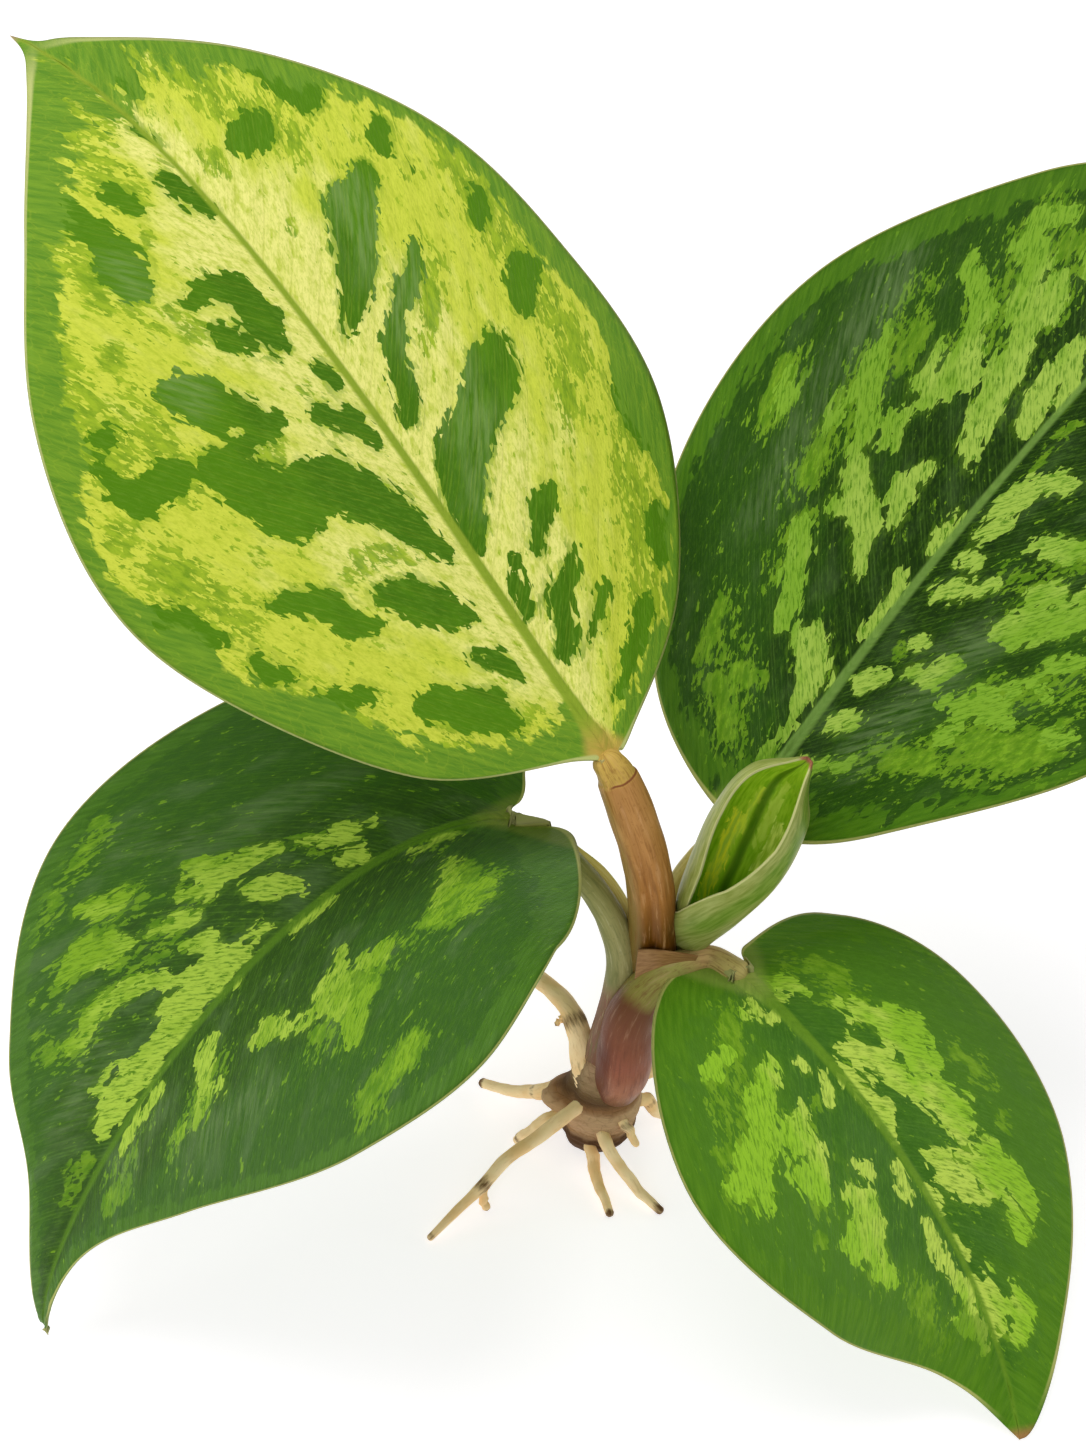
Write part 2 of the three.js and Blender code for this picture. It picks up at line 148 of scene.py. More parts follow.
def sheet(rows, columns, surface, thickness, marks):
    """A thin closed sheet. surface(s, q) is its upper face for s from -1 to 1 across it and q along it,
    thickness(s, q) how far the lower face lies under that, and marks(s, q) its attributes. One more
    attribute, side, is 1 on the upper face and 0 on the lower one."""
    lanes = np.concatenate([columns, [columns[-1]], columns[::-1], [columns[0]], [columns[0]]])
    rise = np.concatenate([np.ones(len(columns)), [0.5], np.zeros(len(columns)), [0.5], [1.0]])
    rim = np.concatenate([np.zeros(len(columns)), [1], np.zeros(len(columns)), [-1], [0]])

    def place(u, v):
        lane = np.rint(u * (len(lanes) - 1)).astype(int)
        s, q = lanes[lane], v
        top = surface(s, q)
        step = 2 * STEP
        across = surface(np.clip(s + step, -1, 1), q) - surface(np.clip(s - step, -1, 1), q)
        along = surface(s, np.clip(q + step, 0, 1)) - surface(s, np.clip(q - step, 0, 1))
        normal = unit(np.cross(along, across))
        deep = thickness(s, q)[:, None]
        outward = unit(across) * rim[lane][:, None] * deep * RIM_BULGE
        positions = top - normal * deep * (1 - rise[lane][:, None]) + outward
        attributes = marks(s, q)
        zero = np.zeros_like(s)
        attributes["side"] = np.stack([rise[lane], zero, zero], 1)
        return positions, attributes

    return grid_mesh(rows, len(lanes) - 1, place)


def tube(route, rows, sides, section=None, drift=None, shade=None):
    """A closed tube along a route of (x, y, z, radius). section(t, angle) scales the radius, with the
    angle counted from the front, drift(t) moves the centre, and shade(t) says how dark it is. The
    attribute round holds the cosine and sine of the angle and t, and run holds the distance along
    the route, the radius and the darkness."""
    route = np.asarray(route, float)
    samples = np.linspace(0, 1, SAMPLES)
    centres = spline(route[:, :3], samples, True)
    lengths = np.concatenate([[0], np.cumsum(np.linalg.norm(np.diff(centres, axis=0), axis=1))])

    def place(u, v):
        angle = u * 2 * math.pi
        t = np.clip((v - CAP) / (1 - 2 * CAP), 0, 1)
        at_start, at_end = np.clip(1 - v / CAP, 0, 1), np.clip((v - 1 + CAP) / CAP, 0, 1)
        from_cap = np.maximum(at_start, at_end)
        centre = spline(route[:, :3], t, True)
        along = heading(route[:, :3], t, True)
        front = unit(FRONT - along * (along @ FRONT)[:, None])
        side = np.cross(front, along)
        radius = spline(route[:, 3:], t)[:, 0]
        scale = section(t, angle) if section else 1.0
        reach = radius * scale * np.cos(from_cap * math.pi / 2)
        push = radius * CAP_BULGE * np.sin(from_cap * math.pi / 2) * np.sign(at_end - at_start)
        if drift:
            centre = centre + drift(t)
        positions = centre + along * push[:, None]
        positions = positions + front * (reach * np.cos(angle))[:, None]
        positions = positions + side * (reach * np.sin(angle))[:, None]
        run = np.interp(t, samples, lengths)
        dark = shade(t) if shade else t * 0
        attributes = {
            "round": np.stack([np.cos(angle), np.sin(angle), t], 1),
            "run": np.stack([run, radius, dark], 1),
        }
        return positions, attributes

    return grid_mesh(rows, sides, place)


# Materials

class Wire:
    """A socket in a material. Expressions on it add Math nodes."""

    def __init__(self, tree, socket=None):
        self.tree = tree
        self.socket = socket

    def node(self, kind, settings, inputs, output=0):
        """Any node. Its settings are set first, then the values, colours or links of its sockets."""
        made = self.tree.nodes.new(kind)
        for key, value in settings.items():
            if key == "stops":
                set_stops(made.color_ramp, value)
            else:
                setattr(made, key, value)
        for key, value in inputs.items():
            if isinstance(value, Wire):
                self.tree.links.new(value.socket, made.inputs[key])
            else:
                made.inputs[key].default_value = linear(value) if isinstance(value, str) else value
        return Wire(self.tree, made.outputs[output])

    def math(self, operation, *others):
        return self.node("ShaderNodeMath", {"operation": operation}, dict(enumerate((self, *others))))

    def math_after(self, operation, first):
        return self.node("ShaderNodeMath", {"operation": operation}, {0: first, 1: self})

    def __add__(self, other):
        return self.math("ADD", other)

    def __sub__(self, other):
        return self.math("SUBTRACT", other)

    def __rsub__(self, other):
        return self.math_after("SUBTRACT", other)

    def __mul__(self, other):
        return self.math("MULTIPLY", other)

    def __truediv__(self, other):
        return self.math("DIVIDE", other)

    __radd__ = __add__
    __rmul__ = __mul__

    def size(self):
        return self.math("ABSOLUTE")

    def swing(self, reach):
        """Noise from 0 to 1 as an unevenness round 0."""
        return (self - 0.5) * reach

    def ramp(self, low, high):
        """0 at low and 1 at high, smooth between; the two may come in falling order."""
        if low < high:
            return self.node("ShaderNodeMapRange", {"interpolation_type": "SMOOTHSTEP"},
                             {"Value": self, "From Min": low, "From Max": high})
        return 1.0 - self.ramp(high, low)


def set_stops(ramp, stops):
    while len(ramp.elements) < len(stops):
        ramp.elements.new(1.0)
    for element, (place, colour) in zip(ramp.elements, stops):
        element.position = place
        element.color = linear(colour)


def linear(colour):
    """A screen colour such as #8fae3c as the shader's linear one."""
    parts = [int(colour[i:i + 2], 16) / 255 for i in (1, 3, 5)]
    return (*(v / 12.92 if v <= 0.04045 else ((v + 0.055) / 1.055) ** 2.4 for v in parts), 1.0)


def attribute(pen, name):
    """The three numbers of a vertex attribute."""
    settings = {"attribute_type": "GEOMETRY", "attribute_name": name}
    vector = pen.node("ShaderNodeAttribute", settings, {}, "Vector")
    first = pen.node("ShaderNodeSeparateXYZ", {}, {"Vector": vector}, "X")
    outputs = first.socket.node.outputs
    return [Wire(pen.tree, outputs[axis]) for axis in "XYZ"]


def solid_place(pen):
    """The place in the object's own coordinates, in metres."""
    return pen.node("ShaderNodeTexCoord", {}, {}, "Object")


def join(pen, x, y, z=0.0):
    return pen.node("ShaderNodeCombineXYZ", {}, {"X": x, "Y": y, "Z": z})


def blend(factor, one, other):
    """From the first colour to the second as the factor goes from 0 to 1."""
    return factor.node("ShaderNodeMix", {"data_type": "RGBA"}, {0: factor, 6: one, 7: other}, 2)


def clouds(vector, scale, detail=3.0, rough=0.5):
    """Soft noise from 0 to 1."""
    inputs = {"Vector": vector, "Scale": scale, "Detail": detail, "Roughness": rough}
    return vector.node("ShaderNodeTexNoise", {}, inputs, "Fac")


def cells(vector, scale):
    """A number from 0 to 1 that is one over each small cell."""
    spot = vector.node("ShaderNodeTexVoronoi", {}, {"Vector": vector, "Scale": scale}, "Position")
    return vector.node("ShaderNodeTexWhiteNoise", {}, {"Vector": spot}, "Value")


def walls(vector, scale):
    """Distance to the wall of the nearest cell."""
    return vector.node("ShaderNodeTexVoronoi", {"feature": "DISTANCE_TO_EDGE"},
                       {"Vector": vector, "Scale": scale}, "Distance")


def finish(name, paint, **fixed):
    """A material. paint gives the colour, the roughness and the relief in millimetres, and the other
    sockets are fixed."""
    material = bpy.data.materials.new(name)
    material.use_nodes = True
    material.node_tree.nodes.clear()
    pen = Wire(material.node_tree)
    colour, roughness, relief = paint(pen)
    bump = pen.node("ShaderNodeBump", {}, {"Strength": 1.0, "Distance": MM, "Height": relief})
    inputs = {"Base Color": colour, "Roughness": roughness, "Normal": bump, **fixed}
    shader = pen.node("ShaderNodeBsdfPrincipled", {}, inputs)
    output = material.node_tree.nodes.new("ShaderNodeOutputMaterial")
    material.node_tree.links.new(shader.socket, output.inputs["Surface"])
    return material


# Open leaves, each in its own flat coordinates: x along the midrib, and y to port of it
BLADE_THICKNESS = 0.55
BLADE_COLUMNS, BLADE_ROWS = 48, 1.05  # columns of each half, and rows for each millimetre of length
MIDRIB_RIDGE, RIDGE_SPREAD = 2.2, 1.9  # height of the midrib under the leaf at its base, half width
RIB_HEIGHT, RIB_GROOVE = 0.35, 0.25  # the midrib's low band on top, and the grooves beside it
RIB_TIP, RIB_GAIN, RIB_FLARE = 0.25, 0.85, 1.5  # its half width at the tip, and what the base adds
FLARE_LENGTH = 6  # how far along the midrib its flare at the petiole reaches
GROOVE_PLACE = 1.9  # distance of the grooves from the middle, in half widths of the midrib
SIDE_RIB, SIDE_RIB_SPREAD = 0.25, 0.6  # height and half width of the side veins under the leaf
WAVES, WAVE_HEIGHT = 4, 0.5  # of the margin, up and down
SWEEP = 1.15  # how far the lines across the leaf lean towards its tip
VEIN_PITCH = 7.5  # between side veins, along the midrib
VEIN_LEAN, VEIN_CURVE = 0.95, 0.22  # a side vein's run towards the tip, and its gain near the margin
PILLOW = 0.28  # height of the face between two side veins
FAR = 30.0  # the most that a distance to a blotch counts as
GRAIN_ACROSS, GRAIN_ALONG = 0.72, 1.35  # scale of the pattern's grain across and along the side veins

# A midrib is a Bezier curve in the plant's frame. Roll turns the leaf about it at the base and the tip,
# and lift and edge are the slopes of its port and starboard halves at the midrib and at the margin.
# Margins are splines of (x, distance from the midrib), and bands say how wide the green along them
# is, as (x, width).
# Blotches were placed one by one. Each is a list of nodes (x, y, half width). Patches are full ones,
# mids are half toned, clouds are where flecks gather, and sheens are where a sheen of reflected light
# is painted in.
LEAVES = {
    "leaf_upper_left": {
        "midrib": [(0, 5, 103), (-32, 37, 136), (-69, 62, 198), (-104, 86, 199)],
        "roll": (0, -1), "lift": (7, 8), "edge": (-16, -9),
        "port": [
            (0.5, 2.5), (3, 5), (18, 33), (51, 56), (79, 62), (108, 53), (134, 31), (155, 8), (161, 2),
        ],
        "starboard": [
            (0.5, 2.5), (2, 7), (18, 34), (47, 55), (79, 57), (107, 50), (137, 30), (156, 8), (161, 2),
        ],
        "port_band": [
            (0, 3), (20, 6), (30, 8), (40, 9), (50, 6), (62, 7), (70, 4), (80, 2.5), (90, 4), (100, 6),
            (112, 5.5), (122, 4.5), (132, 4.5), (142, 3.5), (150, 2.5), (161, 1),
        ],
        "starboard_band": [
            (0, 2), (15, 3), (30, 4), (37, 6), (47, 11), (53, 10), (62, 5.5), (80, 7), (90, 4.5),
            (100, 3), (118, 3), (135, 4), (145, 3), (161, 1),
        ],
        "patches": [
            [(16, 12.5, 2.5), (19, 14, 4), (23, 19, 3.5), (27, 24, 3)],
            [(21.5, 6.5, 1.2), (26, 8, 2), (29.5, 11.8, 1.2)],
            [(36, 9, 2.5), (40, 12.5, 4.2), (44, 16, 4), (47.5, 20, 2.2)], [(41, 18, 1.8)],
            [(43.5, 23.5, 1), (47, 29, 2.6), (52, 30, 2.6), (56, 35, 2.8), (58, 39.5, 1.2)],
            [(46, 42.5, 1.2), (48, 45.5, 2.4), (51.5, 46.5, 1.8)],
            [(34, 32.5, 1.2), (36, 35.5, 2), (38, 41, 3)],
            [(46, 4, 1.5), (54, 8, 4), (62, 10.5, 4.5), (69, 17, 5.5), (70, 26, 6.5), (77, 30, 5),
             (82, 33, 4)],
            [(82, 33, 3), (83, 24, 2.5), (83, 18, 2)],
            [(86, 21, 2.8), (90, 25.5, 4.5), (95, 29, 4.5), (98.5, 32.5, 2)],
            [(86, 40, 3.2), (86, 46, 3.8), (90, 49, 2.4), (95, 49.5, 1.2)],
            [(97.5, 44.5, 2), (98, 47, 2.2)],
            [(93, 8.5, 2.4), (98, 7.5, 4), (104, 7.5, 3.2), (107.5, 12, 2.2), (107.5, 17, 1.8)],
            [(96, 12.5, 2.2), (100, 16.5, 2)],
            [(115.5, 23.5, 3.4), (119, 22.5, 4.6), (126, 21.5, 3), (134, 23.5, 4), (141, 22, 3)],
            [(126, 12.5, 1.6), (130, 14, 2.3)], [(118, 1, 1), (122, 2.8, 2.4), (127, 4, 1.7)],
            [(132.5, 0, 0.8), (137, 0.3, 1.3)], [(70, 3, 1.8), (75, 5.5, 2.8), (79, 9.5, 2.2)],
            [(82, 2.5, 1.6), (86, 4.2, 1)], [(58, 50.5, 1.5), (62, 54, 3.5), (67, 56, 3.5)],
            [(20.5, -5, 2.2), (25, -8.5, 2.4), (28.5, -10, 2.8), (31, -14.5, 2.4), (34, -18, 1)],
            [(19.5, -11, 0.8), (22.5, -15, 1.8), (25, -19, 1.4)],
            [(30, -3, 1.4), (35, -4.5, 1.8), (38.5, -6.5, 1.2)],
            [(38, -11, 1), (40.5, -14, 1.6), (43, -17.5, 2.8), (44.5, -21, 1.2)],
            [(44, -2, 1.5), (52, -5, 4.2), (59, -10, 5.2), (63.5, -18, 5), (67, -25, 5.5),
             (70, -29, 3)],
            [(69.5, -5.5, 1.8), (75, -8.5, 3.2), (80, -10, 2.6), (85, -16, 2.2), (88.5, -23, 2.2),
             (92, -27, 1.4)],
            [(87, -6, 1), (93, -12.5, 3.4), (98, -17, 4.4), (104, -22, 5), (106.5, -28, 3)],
            [(124.5, -13.5, 3.6), (124.5, -18, 3.8)], [(88.5, -43, 1.8), (92, -46.5, 2.4)],
            [(109, -36, 2.8), (112, -39, 2.6)], [(103, -38, 1.2)],
            [(125, -31, 4.5), (132, -30, 4), (139, -25, 2.5)], [(143, -5, 2.4), (147.5, -6.5, 3.4)],
            [(153, -3, 1.6), (156, -1.5, 1)], [(73, -40, 2.6), (77, -42.5, 3.6), (78, -47, 3)],
            [(8, -9, 1.2), (13, -16, 2), (18, -24, 2.5)], [(24, -34, 3), (29, -38, 3)],
            [(40, -46, 3), (47, -46, 3), (53, -48, 2)],
        ],
        "mids": [
            [(49, 10, 1.2), (53, 15, 2), (55, 20, 2.4), (54, 24, 1.5)], [(77, 24, 3), (81, 22, 3)],
            [(108, 35, 2.6)], [(103, 20.5, 2.5), (107, 20.5, 2.2)], [(83.5, 53.5, 3.2)],
            [(84, 9, 1.5)], [(72, 50, 2.5)], [(66, 36, 1.3)], [(120, 15, 1.6)],
            [(80, -20, 1.2), (84, -24, 1.8)], [(124, -6, 3)], [(139, -14.5, 1.8)],
            [(54, -34, 1.5), (57, -36.5, 1.5)], [(137, -4, 1.2)], [(107, -9, 1.2)], [(40, -36, 1.3)],
            [(116, 30, 1.4), (122, 28, 1.2)], [(150, 4, 3), (156, 2, 3)],
        ],
        "clouds": [
            [(60, 45, 5), (75, 52, 5)], [(95, 46, 5), (118, 42, 5)], [(128, 12, 4), (150, 8, 4)],
            [(30, 38, 4), (45, 48, 4)], [(85, 38, 4), (100, 40, 4)], [(14, 8, 2), (22, 24, 2)],
            [(20, -26, 4), (45, -42, 4)], [(60, -44, 5), (100, -48, 5)], [(78, -18, 3), (88, -28, 3)],
            [(118, -22, 5), (150, -12, 5)], [(50, -30, 3), (60, -38, 3)], [(140, 4, 4), (156, -4, 4)],
            [(108, 26, 3), (130, 30, 4)],
        ],
        "sheens": [
            [(50, -6, 5), (62, -16, 8), (80, -18, 9), (104, -22, 9)], [(96, 28, 6), (118, 24, 6)],
        ],
    },
    "leaf_lower_left": {
        "midrib": [(-17, 7, 85.5), (-58, 2, 93), (-108, -50, 31), (-105, -46.5, 1.2)],
        "roll": (6, -4), "lift": (17, 17), "edge": (5, 0),
        "port": [(0.5, 2.5), (-10, 6), (-1.5, 42), (25, 62.5), (60, 53), (94, 25), (119, 6)],
        "starboard": [(0.5, 2.5), (-3, 10), (-2, 40), (26, 49), (67, 49), (98, 29), (116, 11)],
        "port_band": [(0, 6), (40, 5), (90, 4), (131, 3)],
        "starboard_band": [(0, 3), (60, 5), (100, 6), (131, 3)],
        "patches": [
            [(14.5, 11.5, 1.4), (16, 16, 2), (18.5, 20, 1.6)], [(14, 22, 1.2), (15.5, 28, 1.5)],
            [(10, 21, 1), (10.5, 26, 1.1)], [(20, 22, 1.4), (22, 26, 1.2)],
            [(31, 24, 1.3), (35, 25, 2.4), (38, 23, 1.8)],
            [(40, 16.5, 1.2), (42, 20, 2.3), (43.5, 23, 2.8), (46, 28, 2)],
            [(47, 21, 2), (48, 25, 2)], [(40, 30, 1.2), (44, 32, 2.8), (47, 36, 1.6)],
            [(52, 23.5, 1.4), (56, 22, 1.4), (57, 18.5, 1.8), (60, 17, 2.6), (62.5, 16.5, 1.6)],
            [(37, 47.5, 1), (40, 48, 1.6), (44, 48.5, 1.2)],
            [(37, 1.2, 1), (41, 2, 1.6), (45, 1.6, 1.4)],
            [(11, 2.5, 0.8), (15, 2.6, 1), (20, 2.6, 1.2)],
            [(69, 6.8, 1.4), (72.5, 7.5, 2.4), (75, 9.5, 1.8), (75, 12, 1.5), (77.5, 15, 1.5),
             (81, 16.5, 1)],
            [(73.5, 16, 1.6)], [(83, 14.5, 1), (87, 14, 0.8)],
            [(84, 2.5, 0.8), (90, 2.6, 1.4), (97, 2.6, 1)], [(59.5, 0.5, 0.7)],
            [(27.5, -2.6, 1), (31.5, -4.2, 1.1)],
            [(24, -8, 0.8), (28, -8.5, 1.6), (32, -9.5, 1.2), (34.5, -12, 0.7)],
            [(40, -4, 1), (42.5, -7, 1.8), (46, -9.5, 1.8), (48, -11, 0.8)],
            [(40, -14, 1), (46, -16.5, 1.6), (50, -18, 2.6), (52.5, -22, 2)],
            [(53, -17, 1.8), (57, -19.5, 0.9)], [(49, -3.5, 0.7), (53, -4.5, 0.9)],
            [(55, -2.4, 1.4), (60, -4.8, 3.8), (64, -4.6, 3.6), (69, -4, 3.4), (74, -4, 3.2)],
            [(58, -9.5, 1.7), (62, -11, 0.9)], [(68.5, -9.5, 1.4)],
            [(77, -3, 2.4), (84, -3.8, 3.2), (90, -4.2, 2.8), (97, -3.4, 1.6)],
            [(86, -8.5, 0.9), (92, -8.8, 0.7)],
            [(69, -11, 1.5), (73, -14, 2), (78, -16.5, 1.6), (83, -17.5, 2), (87, -16, 1.7),
             (90, -18, 0.9)],
            [(57, -14.5, 0.8), (61, -16.5, 1.1), (65, -18.5, 0.7)],
            [(69, -21.5, 1.3), (72.5, -23, 2.8), (75, -26, 2.6), (79, -28, 2), (82, -27.5, 0.8)],
            [(64, -28.5, 1.2), (67.5, -29, 1.6), (70, -31.5, 1.8), (71.5, -33, 0.9)],
        ],
        "mids": [
            [(14, 16, 4), (15, 25, 4.5), (22, 25, 3)], [(42, 27, 6)], [(38, 48, 3), (52, 48, 2.5)],
            [(101, 9, 2), (106, 7, 2)], [(66, -41, 2)], [(74, -40, 2)], [(60, -44, 2)],
            [(93, -22, 3)], [(52, 28, 2)], [(105, -3, 2), (112, -3, 1.5)],
        ],
        "clouds": [
            [(10, 20, 5), (20, 28, 5)], [(24, 25, 3), (30, 28, 3)], [(33, 27, 4), (52, 30, 5)],
            [(35, 48, 4), (54, 50, 4)], [(70, 13, 3), (88, 14, 3)], [(84, 6, 2), (104, 6, 3)],
            [(28, -7, 3), (40, -14, 3)], [(55, -17, 4), (92, -17, 4)], [(62, -26, 4), (84, -27, 4)],
            [(14, 3, 2), (22, 6, 2)], [(60, -42, 3), (80, -38, 3)],
        ],
        "sheens": [
            [(84, 6, 4), (98, 7, 5)], [(66, 26, 5), (84, 19, 5)], [(86, -12, 4), (102, -10, 5)],
            [(24, -20, 3), (44, -22, 4)], [(50, -28, 4), (60, -36, 4)],
        ],
    },
    "leaf_right": {
        "midrib": [(27.5, 17.5, 80), (56, 41, 117), (88, 61, 151), (124, 77, 184)],
        "roll": (0, 0), "lift": (12, 12), "edge": (0, 0),
        "port": [(0.5, 2.5), (-6, 6), (6, 32), (39, 56), (79, 59), (118, 38), (140, 11)],
        "starboard": [(0.5, 2.5), (-4, 7), (9, 26), (45, 55), (77, 62), (118, 38), (140, 11)],
        "port_band": [(0, 3), (40, 4), (100, 7), (150, 4)],
        "starboard_band": [(0, 3), (60, 3), (100, 4), (150, 4)],
        "patches": [
            [(16, 3.2, 0.8), (20, 4, 1.8), (25, 5.6, 3.2), (29.5, 9, 2.8), (32, 10.5, 1.2)],
            [(27, 10, 1.5), (29, 13, 0.8)], [(4, 3.2, 0.6), (9, 3.6, 1), (13, 3.8, 0.7)],
            [(28, 16.5, 1.2), (32, 17.5, 2.2), (36, 20, 2.4), (40, 22, 2.6), (44, 25, 2)],
            [(44, 10.5, 1), (48, 12.5, 1.6), (52, 14, 2.8), (54, 19, 3.2), (57, 23, 2.4),
             (60, 25, 1.4)],
            [(54, 11, 1), (58, 12, 2), (61, 14, 1.8), (66, 12.5, 1)], [(51, 22, 1.6)],
            [(35, 1.5, 0.6), (41, 2, 1), (48, 2.6, 1), (51, 2.2, 0.6)],
            [(55, 1.5, 0.6), (60, 2, 1), (64, 2.6, 0.7)],
            [(60, 26, 1.4), (65, 28, 2.2), (69, 32, 2.8), (75, 35.5, 2), (80, 37.5, 1.2)],
            [(59, 34, 1), (66, 36, 0.9)], [(65, 21, 1.4), (68, 24, 1.5), (71, 23, 1.2)],
            [(74, 21.5, 1.2), (78, 22, 2.4), (83, 20, 3.6), (88, 22, 2.4)],
            [(84, 26, 1.6), (76, 25, 1.4)],
            [(71, 7, 0.8), (76, 9, 2), (82, 11.5, 3), (88, 13.5, 3), (94, 14.5, 2.4),
             (99, 17.5, 2.4)],
            [(96, 15, 2), (102, 16, 2.4), (106, 18, 2)],
            [(83, 3, 1.2), (88, 5, 2.2), (93, 5.5, 2.4), (98, 5, 2), (101, 6.5, 1)],
            [(90, 1.5, 1.2), (95, 2, 1)],
            [(88, 23.5, 1.2), (93, 25, 2.4), (96, 30, 2.4), (97.5, 34, 1.6)], [(100, 34, 1.4)],
            [(97, 20, 1.8), (103, 22, 2.6), (108, 25, 2.2)],
            [(106, 28.5, 1.8), (112, 30, 1.8), (116, 26, 1.8)],
            [(57, 44, 1.2), (60, 46, 1.8), (63, 48, 1)], [(112, 15, 2), (118, 17, 2)],
            [(121, 8, 2), (128, 9, 1.5)], [(11, -4.5, 0.8), (11.5, -7, 0.9)],
            [(19, -4, 1.2), (22, -6.5, 1.6), (24, -9, 0.9)],
            [(28, -3.6, 1), (31, -5.5, 1.6), (33.5, -8, 0.8)], [(41, -9, 1.2), (42, -11, 1)],
            [(12, -8, 0.8), (15.5, -12, 1.2), (17, -12.5, 0.6)],
            [(36.5, -13, 1.2), (37.5, -17, 2), (41, -17.5, 1.6), (43, -19.5, 1.2)],
            [(31, -25.5, 1.2), (35, -28, 1.5), (38, -25, 2), (40.5, -28, 2.5), (42.5, -31, 2.3),
             (41, -35.5, 1.5)],
            [(37, -22, 1.4)], [(46, -31.5, 0.9), (47, -34, 0.9)], [(50, -36, 1.1), (49.5, -39, 0.9)],
            [(50, -5.5, 1.2), (53, -8.5, 1.9), (55.5, -12, 1.5), (58.5, -15, 1)],
            [(57.5, -6, 1), (60, -8, 1.5)], [(63, -4, 1), (66, -6, 2), (68, -8.5, 1.5)],
            [(68, -4, 1.4), (73, -6.5, 2.7), (78, -9, 2.6), (80, -13, 1.8), (82, -16, 0.8)],
            [(53, -22, 1.6), (55, -25, 3.4), (58, -28, 3), (61, -31, 3.2), (64, -35, 2.6),
             (68, -33, 1.4)],
            [(62, -24, 1.6), (65, -28, 1.8)],
            [(67.5, -15.5, 1), (70, -18.5, 1.8), (71, -22, 2.2), (73.5, -26, 1.4)],
            [(54, -36, 1.3), (58, -40, 1.5)], [(44, -44, 1.3), (47, -48, 1.4)],
            [(88, -22, 2.4), (94, -27, 3), (99, -31, 2)],
            [(99, -8, 1.6), (105, -12, 2.4), (110, -14, 1.4)], [(76, -31, 1.6), (80, -37, 2.2)],
            [(118, -7, 1.8), (124, -9, 1.4)], [(132, 2, 1.2), (137, 2, 1)],
        ],
        "mids": [
            [(6, 12, 1.5), (9, 15, 2), (12, 20, 2)], [(16, 17, 2), (18, 13, 1.6)],
            [(52, 31, 2.4), (57, 33, 1.4)], [(54, 46, 1.6), (64, 50, 1.6)],
            [(79, -4.5, 1), (85, -4.5, 1.2), (89, -5.5, 0.8)],
            [(34, -32, 3), (38, -40, 4), (46, -46, 3)], [(22, -20, 2.4), (26, -26, 2.4)],
            [(38, -7.5, 1.8)], [(110, 22, 3), (116, 20, 2)], [(76, 30, 2), (84, 32, 2)],
            [(14, 26, 1.5), (24, 29, 1.5)], [(92, -14, 3), (98, -20, 3)],
        ],
        "clouds": [
            [(6, 12, 5), (20, 20, 5)], [(10, 22, 3), (26, 28, 3)], [(50, 30, 5), (72, 36, 5)],
            [(74, 32, 4), (90, 38, 4)], [(90, 22, 6), (114, 30, 6)], [(100, 14, 4), (112, 18, 4)],
            [(54, 45, 4), (66, 48, 4)], [(34, 24, 3), (46, 26, 3)], [(30, -30, 6), (40, -44, 6)],
            [(44, -30, 5), (54, -44, 5)], [(20, -16, 4), (28, -28, 4)], [(60, -18, 4), (74, -30, 4)],
            [(84, -24, 6), (104, -34, 6)], [(110, -10, 4), (126, -14, 4)],
        ],
        "sheens": [
            [(18, -12, 5), (50, -20, 6)], [(40, 34, 4), (90, 46, 6)],
        ],
    },
    "leaf_lower_right": {
        "midrib": [(24, -6, 58), (45, -33, 61), (70.5, -41, 20), (75, -69, 1.2)],
        "roll": (-1, 0), "lift": (10.5, 10.5), "edge": (-9, -1),
        "port": [(0.5, 2.5), (-5, 6), (-2, 22), (28, 35), (60, 33), (88, 13), (101, 3.5)],
        "starboard": [(0.5, 2.5), (-7, 4), (-3, 17), (26, 42), (62, 33), (86, 13), (98, 4)],
        "port_band": [(0, 4), (40, 3), (80, 3), (104, 3)],
        "starboard_band": [(0, 4), (40, 5), (60, 8), (85, 7), (104, 4)],
        "patches": [
            [(4.6, 1.8, 1), (6.5, 4.5, 1.1), (10.5, 6, 0.6)], [(9, 2, 0.8)],
            [(17, 9.5, 0.8), (20, 11, 1.3), (23, 12.5, 1.6), (26.5, 15.5, 2.2), (30, 18, 2),
             (33, 19, 1.3)],
            [(21, 8.5, 0.7)], [(28.5, 14, 2.2), (32, 15, 2.4), (36, 14, 2.4), (37, 17, 1.6)],
            [(38, 13, 1.8), (41, 12.5, 2.8), (45, 14, 3), (49, 13, 2.6), (51, 11.5, 1.4)],
            [(46, 17, 1.4)],
            [(23.5, 3.4, 0.8), (26.5, 5, 1.7), (30, 7.5, 2.3), (34, 9, 2), (38.5, 9.5, 1.4)],
            [(28, 0.8, 0.8), (32, 1.6, 1.3), (36, 2, 1.7), (40, 1.2, 1.3), (42, 0.6, 0.6)],
            [(49, 5, 1), (53, 5.5, 2.3), (57, 7.5, 2.3), (60.5, 8.5, 1.5)], [(52.5, 3, 0.8)],
            [(52, 9.5, 1), (56, 12, 2), (60, 13, 2.6)], [(61, 9.5, 1.2)],
            [(58, 16, 2.2), (63, 17.5, 2.1), (67, 18, 1.2)], [(66, 14, 1), (70, 14, 1.1)],
            [(54, 16, 1.2)], [(77, 7.5, 0.8), (80, 6.5, 1.7), (83, 7.5, 1.5), (86, 4.8, 1)],
            [(72.5, 2.6, 0.5), (76, 2.6, 0.8), (80, 3, 0.5)],
            [(73, 0.4, 0.5), (77, 0.6, 0.9), (83, 0.8, 0.6)], [(53, 0.6, 0.8), (57, 1, 0.7)],
